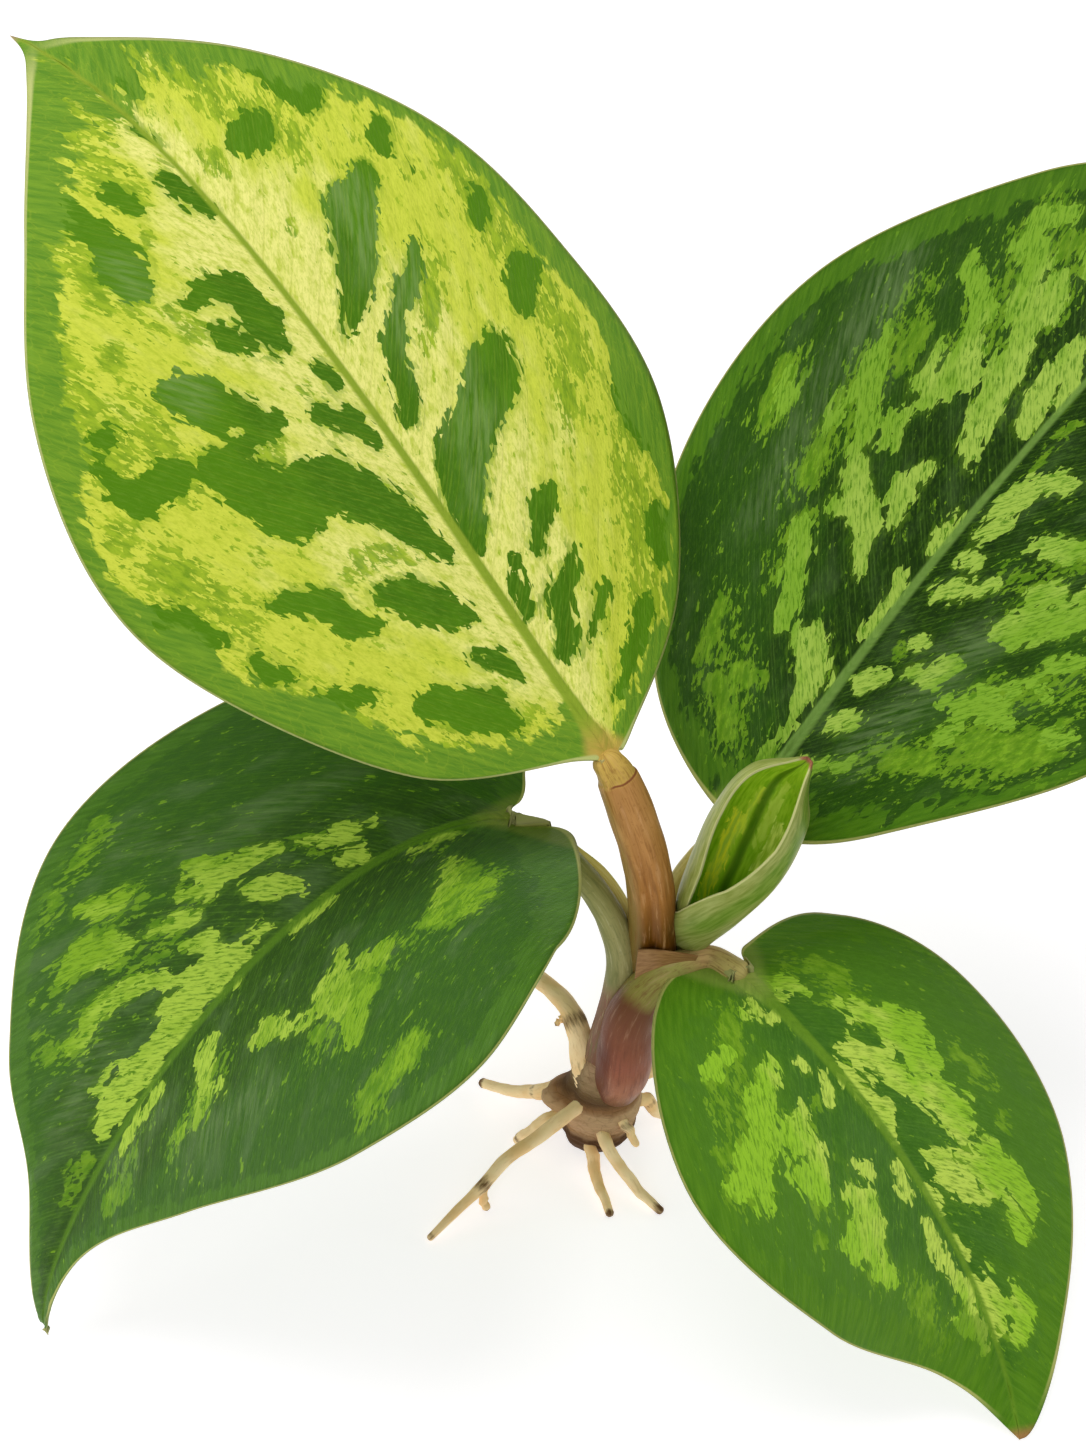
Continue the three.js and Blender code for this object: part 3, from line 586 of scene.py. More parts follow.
            [(65, 0.8, 0.4), (69, 1.2, 0.4)], [(6, -2.8, 1), (9, -3.5, 1.5), (11, -2.6, 1)],
            [(8, -5.5, 0.7)], [(12, -16, 1), (13, -22, 0.7)],
            [(17, -10.5, 0.8), (19, -12.5, 1.6), (21, -16, 2.2), (22.5, -20, 2.4), (26, -22.5, 3),
             (27, -27, 2.6)],
            [(27, -27, 2.6), (29, -31, 2.6), (28, -34.5, 1.3)],
            [(32.5, -30.5, 1.8), (34.5, -32, 0.9)],
            [(26.5, -12, 0.9), (28, -14.5, 1.6), (29, -18, 2.4), (33, -15.5, 2), (36, -18, 2.1),
             (39, -21, 1.3)],
            [(33, -22.5, 1.1), (38, -23, 0.8)], [(40, -10.5, 0.8), (42.5, -8.5, 0.9)],
            [(43, -15, 1.4), (46, -14, 2.2), (49, -14, 2), (52, -14.5, 1.3)],
            [(48.5, -18, 1.8), (52, -18, 2.6), (57, -18, 1.9), (62, -17, 0.9)],
            [(49.5, -21.5, 1.5), (53, -21.5, 0.9)],
            [(46.5, -3, 0.6), (49, -3.8, 1.2), (51.5, -4.5, 0.8)],
            [(58.5, -3.2, 0.7), (62, -4, 1.6), (66, -4, 1.6), (68, -3, 0.8)],
            [(70, -2.6, 0.5), (76, -2.6, 0.8), (80, -3.2, 2), (84, -3, 0.9)],
            [(77.5, -6.5, 1.3), (80, -5.5, 1.1)], [(25, -3, 0.6), (27, -4, 0.9), (28.5, -6, 0.6)],
            [(21, -5.5, 0.6)],
        ],
        "mids": [
            [(8, 12, 1.6), (12, 14, 1.8), (16, 12, 1.4)], [(39, 22, 1.4), (43, 23.5, 1.8)],
            [(54, 21.5, 1.8)], [(8, -10, 1.6), (12, -14, 2)], [(27.5, -8.5, 1.6)],
            [(70, -12, 2.4), (77, -13, 1.6)], [(24, -31, 2)], [(14, -22, 1.6)], [(45, -27, 1.5)],
        ],
        "clouds": [
            [(5, 9, 4), (18, 13, 4)], [(38, 22, 2.5), (46, 24, 2.5)], [(52, 12, 4), (70, 16, 3)],
            [(5, -8, 3), (16, -18, 3)], [(18, -22, 4), (30, -32, 4)], [(28, -14, 3), (40, -22, 3)],
            [(44, -12, 3), (60, -20, 3)], [(74, -4, 3), (86, 4, 3)], [(68, -12, 4), (80, -12, 3)],
        ],
        "sheens": [],
    },
}


class Leaf:
    """An open leaf. Each point is a distance x along the midrib and y to one side of it."""

    def __init__(self, spec):
        self.spec = spec
        self.stops = np.linspace(0, 1, SAMPLES)
        points = self.bezier(self.stops)
        steps = np.linalg.norm(np.diff(points, axis=0), axis=1)
        self.lengths = np.concatenate([[0], np.cumsum(steps)])
        self.length = self.lengths[-1]

    def bezier(self, t):
        a, b, c, d = (np.array(p, float) for p in self.spec["midrib"])
        t = np.asarray(t, float)[..., None]
        return (1 - t) ** 3 * a + 3 * t * (1 - t) ** 2 * b + 3 * t * t * (1 - t) * c + t ** 3 * d

    def flat(self, s, q):
        """Place on the flat leaf for s from -1, starboard, to 1, port, and q along the margin."""
        tip = (self.length, 0)
        port = spline([*self.spec["port"], tip], q)
        starboard = spline([*self.spec["starboard"], tip], q)
        margin = np.where((s >= 0)[:, None], port, starboard)
        share = np.abs(s)
        x = self.length * q ** SWEEP * (1 - share) + margin[:, 0] * share
        half = np.maximum(margin[:, 1], 0.0)
        return x, half * share, half

    def surface(self, s, q):
        """The upper face."""
        x, y, half = self.flat(s, q)
        share = np.clip(x / self.length, 0, 1)
        t = np.interp(share * self.length, self.lengths, self.stops)
        along = unit(self.bezier(np.clip(t + STEP, 0, 1)) - self.bezier(np.clip(t - STEP, 0, 1)))
        base = self.bezier(t) + along * np.minimum(x, 0)[:, None]
        level = unit(np.cross(UP, along))
        upright = np.cross(along, level)
        roll = np.radians(np.interp(share, [0, 1], self.spec["roll"]))[:, None]
        across = level * np.cos(roll) + upright * np.sin(roll)
        normal = np.cross(along, across)
        port = s >= 0
        lift = np.radians(np.where(port, *self.spec["lift"]))
        edge = np.radians(np.where(port, *self.spec["edge"]))
        bend = (edge - lift) / np.maximum(half, 0.1)
        turned = lift + bend * y
        out = (np.sin(turned) - np.sin(lift)) / bend
        rise = (np.cos(lift) - np.cos(turned)) / bend
        wave = WAVE_HEIGHT * s * s * np.sin(math.pi * q) * np.sin(2 * math.pi * WAVES * q)
        rise = rise + self.relief(x, y, s)
        face = base + across * (np.where(port, 1, -1) * out)[:, None] + normal * rise[:, None]
        return face + UP * wave[:, None]

    def vein(self, x, y, s):
        """Where on the midrib the side vein through a point starts."""
        return x - VEIN_LEAN * y - VEIN_CURVE * y * np.abs(s)

    def relief(self, x, y, s):
        """Soft pillows between the side veins, and the low band of the midrib."""
        pillow = 0.5 - 0.5 * np.cos(2 * math.pi * self.vein(x, y, s) / VEIN_PITCH)
        spread = ease(np.abs(s), 0.03, 0.2) * (1 - ease(np.abs(s), 0.8, 0.97))
        width = self.rib(x)
        rib = RIB_HEIGHT * np.exp(-(y / width) ** 4)
        groove = RIB_GROOVE * np.exp(-((y - GROOVE_PLACE * width) / width) ** 2)
        return (PILLOW * pillow * spread + (rib - groove) * ease(width, 0.2, 1.2)) * ease(x, -1, 6)

    def rib(self, x):
        """Half width of the midrib."""
        onward = np.clip(x / self.length, 0, 1)
        flare = RIB_FLARE * np.exp(-np.maximum(x, 0) / FLARE_LENGTH)
        return RIB_TIP + RIB_GAIN * (1 - onward) + flare

    def thickness(self, s, q):
        """Blade, midrib and the low ribs of the side veins."""
        x, y, _ = self.flat(s, q)
        share = np.abs(s)
        onward = np.clip(x / self.length, 0, 1)
        ridge = MIDRIB_RIDGE * (1 - onward) * np.exp(-(y / RIDGE_SPREAD) ** 2)
        near = np.abs(((self.vein(x, y, s) / VEIN_PITCH + 0.5) % 1) - 0.5) * VEIN_PITCH
        rib = SIDE_RIB * np.exp(-(near / SIDE_RIB_SPREAD) ** 2)
        rib = rib * (1 - ease(share, 0.5, 0.9)) * ease(share, 0.02, 0.1)
        body = BLADE_THICKNESS * (1 - 0.45 * ease(share, 0.9, 1.0))
        return (body + ridge + rib) * (1 - ease(q, 0.97, 1.0) * 0.9)

    def marks(self, s, q):
        """What the pattern is made from: places, and distances to the blotches and the edges."""
        x, y, half = self.flat(s, q)
        signed = np.where(s >= 0, y, -y)
        across = GRAIN_ACROSS * self.vein(x, y, s)
        from_margin = half * (1 - np.abs(s))
        bands = ("port_band", "starboard_band")
        port, starboard = (np.array(self.spec[name], float) for name in bands)
        band = np.where(s >= 0, np.interp(x, *port.T), np.interp(x, *starboard.T))
        kinds = ("patches", "mids", "clouds", "sheens")
        patch, mid, cloud, sheen = (nearest(self.spec[kind], x, signed) for kind in kinds)
        return {
            "flat": np.stack([x, signed, from_margin], 1),
            "grain": np.stack([across, GRAIN_ALONG * signed, np.abs(s)], 1),
            "spots": np.stack([patch, mid, cloud], 1),
            "edges": np.stack([np.abs(y) - self.rib(x), from_margin - band, sheen], 1),
        }


def nearest(blotches, x, y):
    """Distance to the nearest blotch, less than 0 inside it."""
    found = np.full_like(x, FAR)
    for nodes in blotches:
        for (x1, y1, half1), (x2, y2, half2) in zip(nodes, nodes[1:] or nodes):
            dx, dy = x2 - x1, y2 - y1
            t = np.clip(((x - x1) * dx + (y - y1) * dy) / max(dx * dx + dy * dy, 1e-6), 0, 1)
            half = half1 + (half2 - half1) * t
            found = np.minimum(found, np.hypot(x - x1 - t * dx, y - y1 - t * dy) - half)
    return found


def leaf_columns(count):
    """Columns across a leaf, closer together near the midrib and the margin."""
    half = np.linspace(0, 1, count)
    half = 0.35 * half + 0.65 * half ** 1.7
    return np.concatenate([half[::-1], -half[1:]])


def leaf_finish(name, look):
    """Both faces of an open leaf: ground, jagged patches, flecks, green margin, midrib and pale rim."""
    def paint(pen):
        x, _, from_margin = attribute(pen, "flat")
        across, along, share = attribute(pen, "grain")
        patch, mid, cloud = attribute(pen, "spots")
        patch = patch - look["grow"]
        from_rib, from_band, sheen = attribute(pen, "edges")
        upper, _, _ = attribute(pen, "side")
        grain = join(pen, across, along * 0.66)
        fine = join(pen, across, along * 0.14)
        block = cells(join(pen, across, along * 0.85), 0.6)
        crumb = cells(grain, 1.4)
        grit = cells(join(pen, across, along * 0.5), 2.6)
        drift = clouds(grain, 0.09, 2.0)
        lobe = clouds(grain, 0.24, 2.0)
        mottle = clouds(grain, 0.6, 3.0, 0.6)
        streak = clouds(fine, 1.1, 3.0)
        thread = clouds(join(pen, across, along * 0.2), 2.2, 4.0, 0.6)
        jag = lobe.swing(look["ragged"]) + block.swing(1.9) + crumb.swing(0.5)
        chance = crumb * 0.5 + block * 0.3 + grit * 0.2

        tone = share.ramp(0.75, 0.05) + lobe.swing(1.2) + drift.swing(1.6) + mottle.swing(0.7)
        ground = blend(tone.ramp(0.1, 0.9), look["ground_out"], look["ground_in"])
        ground = blend(mottle.ramp(0.45, 0.7) * look["mottle"], ground, look["streak"])
        ground = blend(thread.ramp(0.5, 0.72) * look["streaks"], ground, look["streak"])
        crinkle = clouds(join(pen, across, along * 0.7), 1.5, 5.0, 0.65)
        ground = blend(crinkle.ramp(0.5, 0.62) * look["crinkle"], ground, look["streak"])
        # Painted sheen in soft clouds over the ground, standing in for light reflected off the leaf.
        cloud_sheen = clouds(grain, 0.12, 3.0) + thread.swing(0.25)
        ground = blend(cloud_sheen.ramp(0.5, 0.72) * look["cloud_sheen"], ground, look["cloud_sheen_colour"])
        fleck_tone = blend(mottle.ramp(0.35, 0.65), look["fleck_low"], look["fleck_high"])
        halo = (patch + jag + drift.swing(3.0) + mottle.swing(3.0)).ramp(1.3, 0.7)
        halo = halo * drift.ramp(0.42, 0.6)
        ground = blend(halo * look["halo"], ground, fleck_tone)
        cloudy = (cloud + drift.swing(8.0) + lobe.swing(6.0)).ramp(2.5, -3.5)
        gather = cloudy * 0.42 + share.ramp(0.15, 0.8) * look["outer_flecks"]
        speckle = (chance + mottle.swing(0.8) + gather).ramp(0.88, 0.93)
        ground = blend(speckle * look["flecks"], ground, fleck_tone)
        half_tone = (mid + jag + thread.swing(2.0)).ramp(0.3, -0.3)
        half_tone = half_tone * (chance + thread.swing(0.8)).ramp(0.72, 0.64)
        ground = blend(half_tone * look["half"], ground, fleck_tone)

        inside = (patch + jag).ramp(0.08, -0.08)
        spot = blend(tone.ramp(0.2, 1.0), look["patch_out"], look["patch_in"])
        spot = blend(thread.ramp(0.46, 0.66) * look["patch_streaks"], spot, look["patch_streak"])
        worn = (chance + thread.swing(0.9) + patch * 0.05).ramp(0.7, 0.75)
        spot = blend(worn * look["worn"], spot, look["patch_streak"])
        # Painted sheen: the colour is greyed over the sheen blotches, standing in for light reflected
        # off the leaf.
        painted_sheen = (sheen + drift.swing(10.0) + thread.swing(10.0)).ramp(2.0, -6.0)
        painted_sheen = painted_sheen * streak.ramp(0.3, 0.7)
        ground = blend(painted_sheen * look["painted_sheen_ground"], ground, look["painted_sheen"])
        spot = blend(painted_sheen * look["painted_sheen_patch"], spot, look["painted_sheen"])
        colour = blend(inside, ground, spot)

        wobble = drift.swing(6.0) + lobe.swing(4.0)
        edge = from_band + block.swing(2.2) + crumb.swing(0.7) + wobble
        band = blend(streak.ramp(0.3, 0.7), look["band_low"], look["band_high"])
        colour = blend(edge.ramp(0.4, -0.4) * look["band_force"], colour, band)

        side_vein = ((across / (GRAIN_ACROSS * VEIN_PITCH) + 0.5).math("FRACT") - 0.5).size()
        vein_line = side_vein.ramp(0.06, 0.0) * share.ramp(0.9, 0.3) * (x + 4.0).ramp(0.0, 12.0)
        colour = blend(vein_line * look["veins"] * (1.0 - inside * 0.7), colour, look["vein_colour"])
        between = (((across + lobe.swing(0.5)) / 1.35).math("FRACT") - 0.5).size()
        thin_line = between.ramp(0.14, 0.0) * share.ramp(1.0, 0.5)
        thin_line = thin_line * (streak * 0.6 + mottle).ramp(0.6, 1.0)
        colour = blend(thin_line * look["thin_veins"], colour, look["vein_colour"])
        net = walls(join(pen, across, along * 0.55), 0.75).ramp(0.06, 0.0) * (1.0 - inside)
        colour = blend(net * look["net"], colour, look["net_colour"])

        rib_colour = blend(x.ramp(10.0, 1.0), look["rib"], look["rib_foot"])
        rib_colour = blend(streak.ramp(0.3, 0.8) * 0.4, rib_colour, look["rib_shade"])
        neck = (x * 0.45 + from_rib).ramp(4.5, 1.5)
        colour = blend(neck * look["neck"], colour, look["rib_foot"])
        colour = blend(from_rib.ramp(0.5, -0.3) * look["rib_force"], colour, rib_colour)
        rim = from_margin.ramp(0.4, 0.22) * (x - look["length"]).ramp(-3.0, -12.0)
        colour = blend(rim, colour, look["rim"])
        colour = blend((x - look["length"]).ramp(-3.0, -0.5), colour, look["tip"])
        below = blend(streak.ramp(0.3, 0.8), look["below_low"], look["below_high"])
        below = blend(streak.ramp(0.2, 0.9) * 0.15 + 0.25, below, colour)
        below = blend(from_rib.ramp(1.5, 0.0), below, look["below_rib"])
        colour = blend(upper.ramp(0.3, 0.7), below, colour)
        roughness = look["matt"] + drift.swing(0.16) + (1.0 - upper) * 0.2
        relief = thread * 0.12 + crinkle * 0.16 - vein_line * 0.05
        return colour, roughness, relief
    return finish(name, paint, **{"Specular IOR Level": look["shine"], "Specular Tint": "#e2f0be"})


CREAM_LOOK = {
    "ragged": 2.2, "grow": 0.0, "matt": 0.46, "shine": 0.12, "crinkle": 0.45,
    # The next line sets the painted sheen: its grey colour, and how strongly it lies on the ground and
    # on the patches.
    "painted_sheen": "#80a056", "painted_sheen_ground": 0.0, "painted_sheen_patch": 0.7,
    "ground_in": "#f4f28c", "ground_out": "#d4de4c",
    # The next line also sets the strength and colour of the soft clouds of painted sheen.
    "streak": "#b6c834", "streaks": 0.35, "mottle": 0.75, "cloud_sheen": 0.0, "cloud_sheen_colour": "#c8c878",
    "fleck_low": "#709a1c", "fleck_high": "#9ebc2a", "flecks": 0.9, "outer_flecks": 0.13,
    "halo": 0.75, "half": 0.9,
    "patch_in": "#46760e", "patch_out": "#548610",
    "patch_streak": "#689426", "patch_streaks": 0.5, "worn": 0.0,
    "band_low": "#5e8e26", "band_high": "#7aa22c", "band_force": 1.0,
    "veins": 0.25, "thin_veins": 0.16, "vein_colour": "#b8c43e", "net": 0.16, "net_colour": "#b8c638",
    "rib": "#92aa32", "rib_shade": "#7a9622", "rib_foot": "#ceac54", "rib_force": 1.0,
    "neck": 0.8, "rim": "#bec678", "tip": "#aa966e",
    "below_low": "#769c54", "below_high": "#8cae64", "below_rib": "#beb070",
}
DARK_LOOK = {
    "ragged": 2.4, "grow": 0.2, "matt": 0.42, "shine": 0.15, "crinkle": 0.15,
    # The next line sets the painted sheen: its grey colour, and how strongly it lies on the ground and
    # on the patches.
    "painted_sheen": "#6c8452", "painted_sheen_ground": 0.6, "painted_sheen_patch": 0.2,
    "ground_in": "#2a4c06", "ground_out": "#3a6c04",
    # The next line also sets the strength and colour of the soft clouds of painted sheen.
    "streak": "#4e7a10", "streaks": 0.45, "mottle": 0.25, "cloud_sheen": 0.3, "cloud_sheen_colour": "#5c7e3a",
    "fleck_low": "#5c8c12", "fleck_high": "#7ca622", "flecks": 0.7, "outer_flecks": 0.0,
    "halo": 0.25, "half": 0.7,
    "patch_in": "#9cbc36", "patch_out": "#76a616",
    "patch_streak": "#487a0e", "patch_streaks": 0.75, "worn": 0.8,
    "band_low": "#46760c", "band_high": "#5e8c18", "band_force": 0.6,
    "veins": 0.16, "thin_veins": 0.3, "vein_colour": "#648e32", "net": 0.0, "net_colour": "#548638",
    "rib": "#547c1a", "rib_shade": "#426c14", "rib_foot": "#96a24a", "rib_force": 0.9,
    "neck": 0.4, "rim": "#b0b464", "tip": "#8c6e3c",
    "below_low": "#62884c", "below_high": "#769a5a", "below_rib": "#a4a668",
}
# Each dark leaf below sets its own strength and colour for the soft clouds of painted sheen.
LOOKS = {
    "leaf_upper_left": ("leaf_cream", CREAM_LOOK),
    "leaf_lower_left": ("leaf_dark", {
        **DARK_LOOK, "ground_in": "#2e4e18", "ground_out": "#345c1a", "tip": "#8c5432",
        "cloud_sheen": 0.55, "cloud_sheen_colour": "#567242", "patch_in": "#a8c644",
        "patch_out": "#7ea622", "band_low": "#3e6814", "band_high": "#548024",
    }),
    "leaf_right": ("leaf_dark", {
        **DARK_LOOK, "ground_in": "#142e06", "ground_out": "#24480a", "rib": "#709242",
        "shine": 0.12, "cloud_sheen": 0.35, "cloud_sheen_colour": "#4e6a38", "patch_in": "#a0be4c",
        "patch_out": "#7ca62c", "mottle": 0.12, "streaks": 0.3, "grow": 0.35,
    }),
    "leaf_lower_right": ("leaf_dark", {
        **DARK_LOOK, "ground_in": "#3a6818", "ground_out": "#4a7818", "cloud_sheen": 0.3, "grow": 0.55,
        "cloud_sheen_colour": "#4c782c", "streak": "#5c8e22", "half": 0.9, "flecks": 0.8,
        "patch_in": "#bcd654", "patch_out": "#92c22c",
        "patch_streaks": 0.6, "worn": 0.6, "rib": "#6a9222", "rib_foot": "#a0b054", "tip": "#a07846",
    }),
}


def make_leaf(name):
    leaf = Leaf(LEAVES[name])
    slot, look = LOOKS[name]
    material = leaf_finish(name, {**look, "length": leaf.length})
    rows = int(leaf.length * BLADE_ROWS)
    bm = sheet(rows, leaf_columns(BLADE_COLUMNS), leaf.surface, leaf.thickness, leaf.marks)
    close(bm)
    piece(name + "_blade", bm, material, slot, name)


# Petioles, with routes of (x, y, z, radius) and grooves as shares of the radius
COLLAR = 0.87  # where on the upper left petiole its sheath ends, as a share of its length
GROOVE_SPREAD = 0.22  # radians
LIP_HEIGHT, LIP_PLACE, LIP_SPREAD = 0.35, 0.5, 0.25  # share of the groove's depth, and radians
PETIOLES = {
    "petiole_upper_left": {
        "route": [
            (4, 2.5, 24, 4.2), (6.5, 2, 42, 4.7), (8, 0.5, 55, 4.7), (8.1, 0, 63.5, 4.4),
            (7.6, 0, 74, 4.2), (6, 1, 84, 4.1), (3.5, 2.5, 93, 4), (1, 4.2, 99.8, 3.6),
            (-0.6, 5.2, 102.4, 3),
        ],
        "groove": 0.22, "collar": COLLAR,
        "slot": "petiole_orange",
    },
    "petiole_lower_left": {
        "route": [
            (0, 0.5, 23, 4.4), (1.2, -1, 35, 4.1), (2.6, -1, 46, 3.6), (2.8, -0.7, 56, 3.1),
            (0.8, 0.3, 65, 2.8), (-2.4, 2, 71.5, 2.6), (-7, 4.6, 76.5, 2.6), (-12, 6.5, 81, 2.4),
            (-17, 7, 84.5, 2.2),
        ],
        "groove": 0,
        "slot": "petiole_grey_green",
    },
    "petiole_lower_right": {
        "route": [
            (2.4, -2.6, 21, 4.4), (3.2, -5.2, 28.5, 5.2), (3.6, -6.4, 37, 5.3), (4.6, -6.8, 47.5, 4.7),
            (8.2, -5.8, 55, 3.7), (13.5, -3.6, 58, 2.7), (19, -2.2, 58, 2.4), (24, -5.6, 57.7, 2.6),
        ],
        "groove": 0,
        "slot": "petiole_pink",
    },
    "petiole_right": {
        "route": [
            (4.5, 5, 24, 3), (8, 7, 42, 3.2), (11.5, 8.8, 57, 3.1), (15, 11, 66, 2.9),
            (19.5, 14, 70.8, 2.7), (24, 16.4, 75, 2.5), (27.3, 17.5, 79.4, 2.2),
        ],
        "groove": 0,
        "slot": "petiole_yellow",
    },
}
WING = {
    "near": [(3.6, 1, 48), (2.8, 1.2, 56), (0.8, 2.2, 64.5), (-2.2, 3.8, 71), (-6.8, 5.4, 76)],
    "far": [(7, 3.5, 48), (5.6, 4.4, 57.5), (3.6, 5, 66), (-0.6, 6.4, 73.2), (-6.4, 7.4, 79)],
}
FLAP = {
    "near": [(4.8, -6.6, 56), (8, -6.4, 57.6), (11.6, -5.6, 59), (16, -4.6, 59.8)],
    "far": [(5.4, -5.2, 63.8), (8.5, -5.2, 63.8), (12, -4.9, 62.8), (16.5, -4.4, 61.2)],
}
STRIP_THICKNESS = 0.7  # of both strips of sheath, which run from a near edge to a far one

STALK_LOOKS = {
    "petiole_upper_left": {
        "stops": [
            (0.0, "#543414"), (0.41, "#663e06"), (0.52, "#ac7438"), (0.72, "#ba884a"),
            (0.86, "#b8864a"), (0.875, "#c4a24e"), (1.0, "#ceac54"),
        ],
        "left": "#8c7a3a", "left_span": (0.2, 0.8), "left_force": 0.7, "left_range": (-1, 0),
        "dark": "#845422", "pale": "#cea06a", "pale_force": 0.5,
        "collar": "#804a28",
    },
    "petiole_lower_left": {
        "stops": [
            (0.0, "#70442e"), (0.26, "#8c5e48"), (0.33, "#a69e68"), (0.7, "#949454"),
            (0.77, "#8c9652"), (0.84, "#5a7630"), (1.0, "#54722c"),
        ],
        "left": "#72763a", "left_span": (0.0, 0.8), "left_force": 0.7, "left_range": (0.27, 0.33),
        "dark": "#707440", "pale": "#c4be8c", "pale_force": 0.55,
    },
    "petiole_lower_right": {
        "stops": [
            (0.0, "#6e482c"), (0.14, "#9e6446"), (0.28, "#905038"), (0.49, "#6c4226"),
            (0.54, "#8c8440"), (0.7, "#a09c54"), (0.8, "#c8a66c"), (1.0, "#beb068"),
        ],
        "left": "#5a2612", "left_span": (0.3, 0.75), "left_force": 0.85, "left_range": (0.42, 0.3),
        "dark": "#703e2a", "pale": "#b88e70", "pale_force": 0.3,
    },
    "petiole_right": {
        "stops": [(0.0, "#966e46"), (0.4, "#c4b060"), (1.0, "#c4bc64")],
        "left": "#aaa05a", "left_span": (0.2, 0.7), "left_force": 0.2, "left_range": (-1, 0),
        "dark": "#968840", "pale": "#d6cc82", "pale_force": 0.3,
    },
}


def stalk_finish(name, look):
    """Satin skin with fine streaks along it."""
    def paint(pen):
        cosine, sine, t = attribute(pen, "round")
        run, radius, _ = attribute(pen, "run")
        front, side = cosine * radius, sine * radius
        streak = clouds(join(pen, front, side, run * 0.1), 1.3, 4.0, 0.6)
        fibre = clouds(join(pen, front, side, run * 0.05), 4.0, 3.0, 0.6)
        mottle = clouds(join(pen, front, side, run), 0.3, 3.0)
        place = t + mottle.swing(0.04)
        colour = pen.node("ShaderNodeValToRGB", {"stops": look["stops"]}, {"Fac": place}, "Color")
        left = (sine + streak.swing(0.6)).ramp(*look["left_span"])
        left = left * place.ramp(*look["left_range"])
        colour = blend(left * look["left_force"], colour, look["left"])
        colour = blend(streak.ramp(0.5, 0.72) * 0.65, colour, look["dark"])
        colour = blend(fibre.ramp(0.5, 0.7) * 0.35, colour, look["dark"])
        colour = blend(streak.ramp(0.45, 0.3) * look["pale_force"], colour, look["pale"])
        if "collar" in look:
            seam = (t - COLLAR + streak.swing(0.004)).size().ramp(0.006, 0.001)
            colour = blend(seam * (0.4 - sine).ramp(0.0, 0.3), colour, look["collar"])
        speck = cells(join(pen, front, side, run), 2.5).ramp(0.93, 0.97)
        colour = blend(speck * 0.25, colour, look["dark"])
        roughness = 0.42 + streak.swing(0.2)
        return colour, roughness, streak * 0.12 + fibre * 0.05 + mottle * 0.12
    return finish(name, paint, **{"Specular IOR Level": 0.13})


def face_marks(s, q):
    """Marks of a sheet that has no midrib."""
    return {"flat": np.stack([s, q, s * 0], 1)}


def make_petioles():
    """Round stalks. The upper left one has a groove in front, and a collar where its sheath ends."""
    for name, spec in PETIOLES.items():
        def section(t, angle, groove=spec["groove"], collar=spec.get("collar"), seed=len(name)):
            turn = np.arctan2(np.sin(angle), np.cos(angle))
            deep = groove * np.sin(math.pi * t)
            cut = deep * np.exp(-(turn / GROOVE_SPREAD) ** 2)
            lips = LIP_HEIGHT * deep * np.exp(-((np.abs(turn) - LIP_PLACE) / LIP_SPREAD) ** 2)
            step = 0.09 * (1 - ease(t, collar - 0.004, collar + 0.004)) - 0.05 if collar else 0
            return 1 - cut + lips + step + 0.015 * ripple(t * 14 + np.cos(angle), seed)
        bm = tube(spec["route"], *GRIDS["petiole"], section)
        close(bm)
        piece(name + "_skin", bm, stalk_finish(name, STALK_LOOKS[name]), spec["slot"], name)


def strip_finish(name, low, high):
    """Thin streaked skin between two colours."""
    def paint(pen):
        s, q, _ = attribute(pen, "flat")
        streak = clouds(join(pen, s * 5.0, q * 3.0), 1.4, 4.0)
        colour = blend(streak.ramp(0.3, 0.7), low, high)
        return colour, 0.4 + streak.swing(0.2), streak * 0.08
    return finish(name, paint, **{"Specular IOR Level": 0.2})


def make_strip(name, strip, slot, low, high):
    """A strip of sheath between its near and its far edge."""
    def surface(s, q):
        near, far = spline(strip["near"], q, True), spline(strip["far"], q, True)
        return near + (far - near) * ((1 + s) / 2)[:, None]

    def thickness(s, q):
        return STRIP_THICKNESS * (0.35 + 0.65 * (1 - s * s)) * (1 - 0.7 * ease(q, 0.9, 1.0))
    rows, columns = GRIDS["strip"]
    bm = sheet(rows, np.linspace(1, -1, columns), surface, thickness, face_marks)
    close(bm)
    piece(name, bm, strip_finish(name, low, high), slot)


# Young leaf, still rolled round its axis of (x, y, z, radius). Its left and right margins lie at
# (share of the axis, degrees from where it faces).
YOUNG = {
    "axis": [
        (15, 1, 60, 2.9), (18.6, 1, 70, 5.6), (23.2, 2, 80, 7.6), (26.4, 3, 88.4, 7.8),
        (29.6, 4.5, 95.6, 6.2), (35, 6, 102, 0.5),
    ],
    "stalk": [(7.5, 3, 26, 2.2), (10, 3, 42, 2.6), (13, 1.8, 54, 2.9), (15.6, 1, 62.5, 3.1)],
    "left": [(0, 22), (0.16, 16), (0.35, 24), (0.62, 42), (1, 58)],
    "right": [(0, 92), (0.08, 62), (0.18, 26), (0.37, -16), (0.62, -46), (1, -62)],
    "facing": (-0.35, -0.75, 0.55), "thickness": 0.8,
}
# Light stripes on its inner face: place across it, half width, start and end along it, and colour
YOUNG_STRIPES = [
    (-0.19, 0.07, 0.1, 0.5, "#fff63c"), (-0.1, 0.035, 0.36, 0.68, "#e2ec46"),
    (0.1, 0.04, 0.4, 0.8, "#cee254"), (0.24, 0.09, 0.14, 0.54, "#faff82"),
]


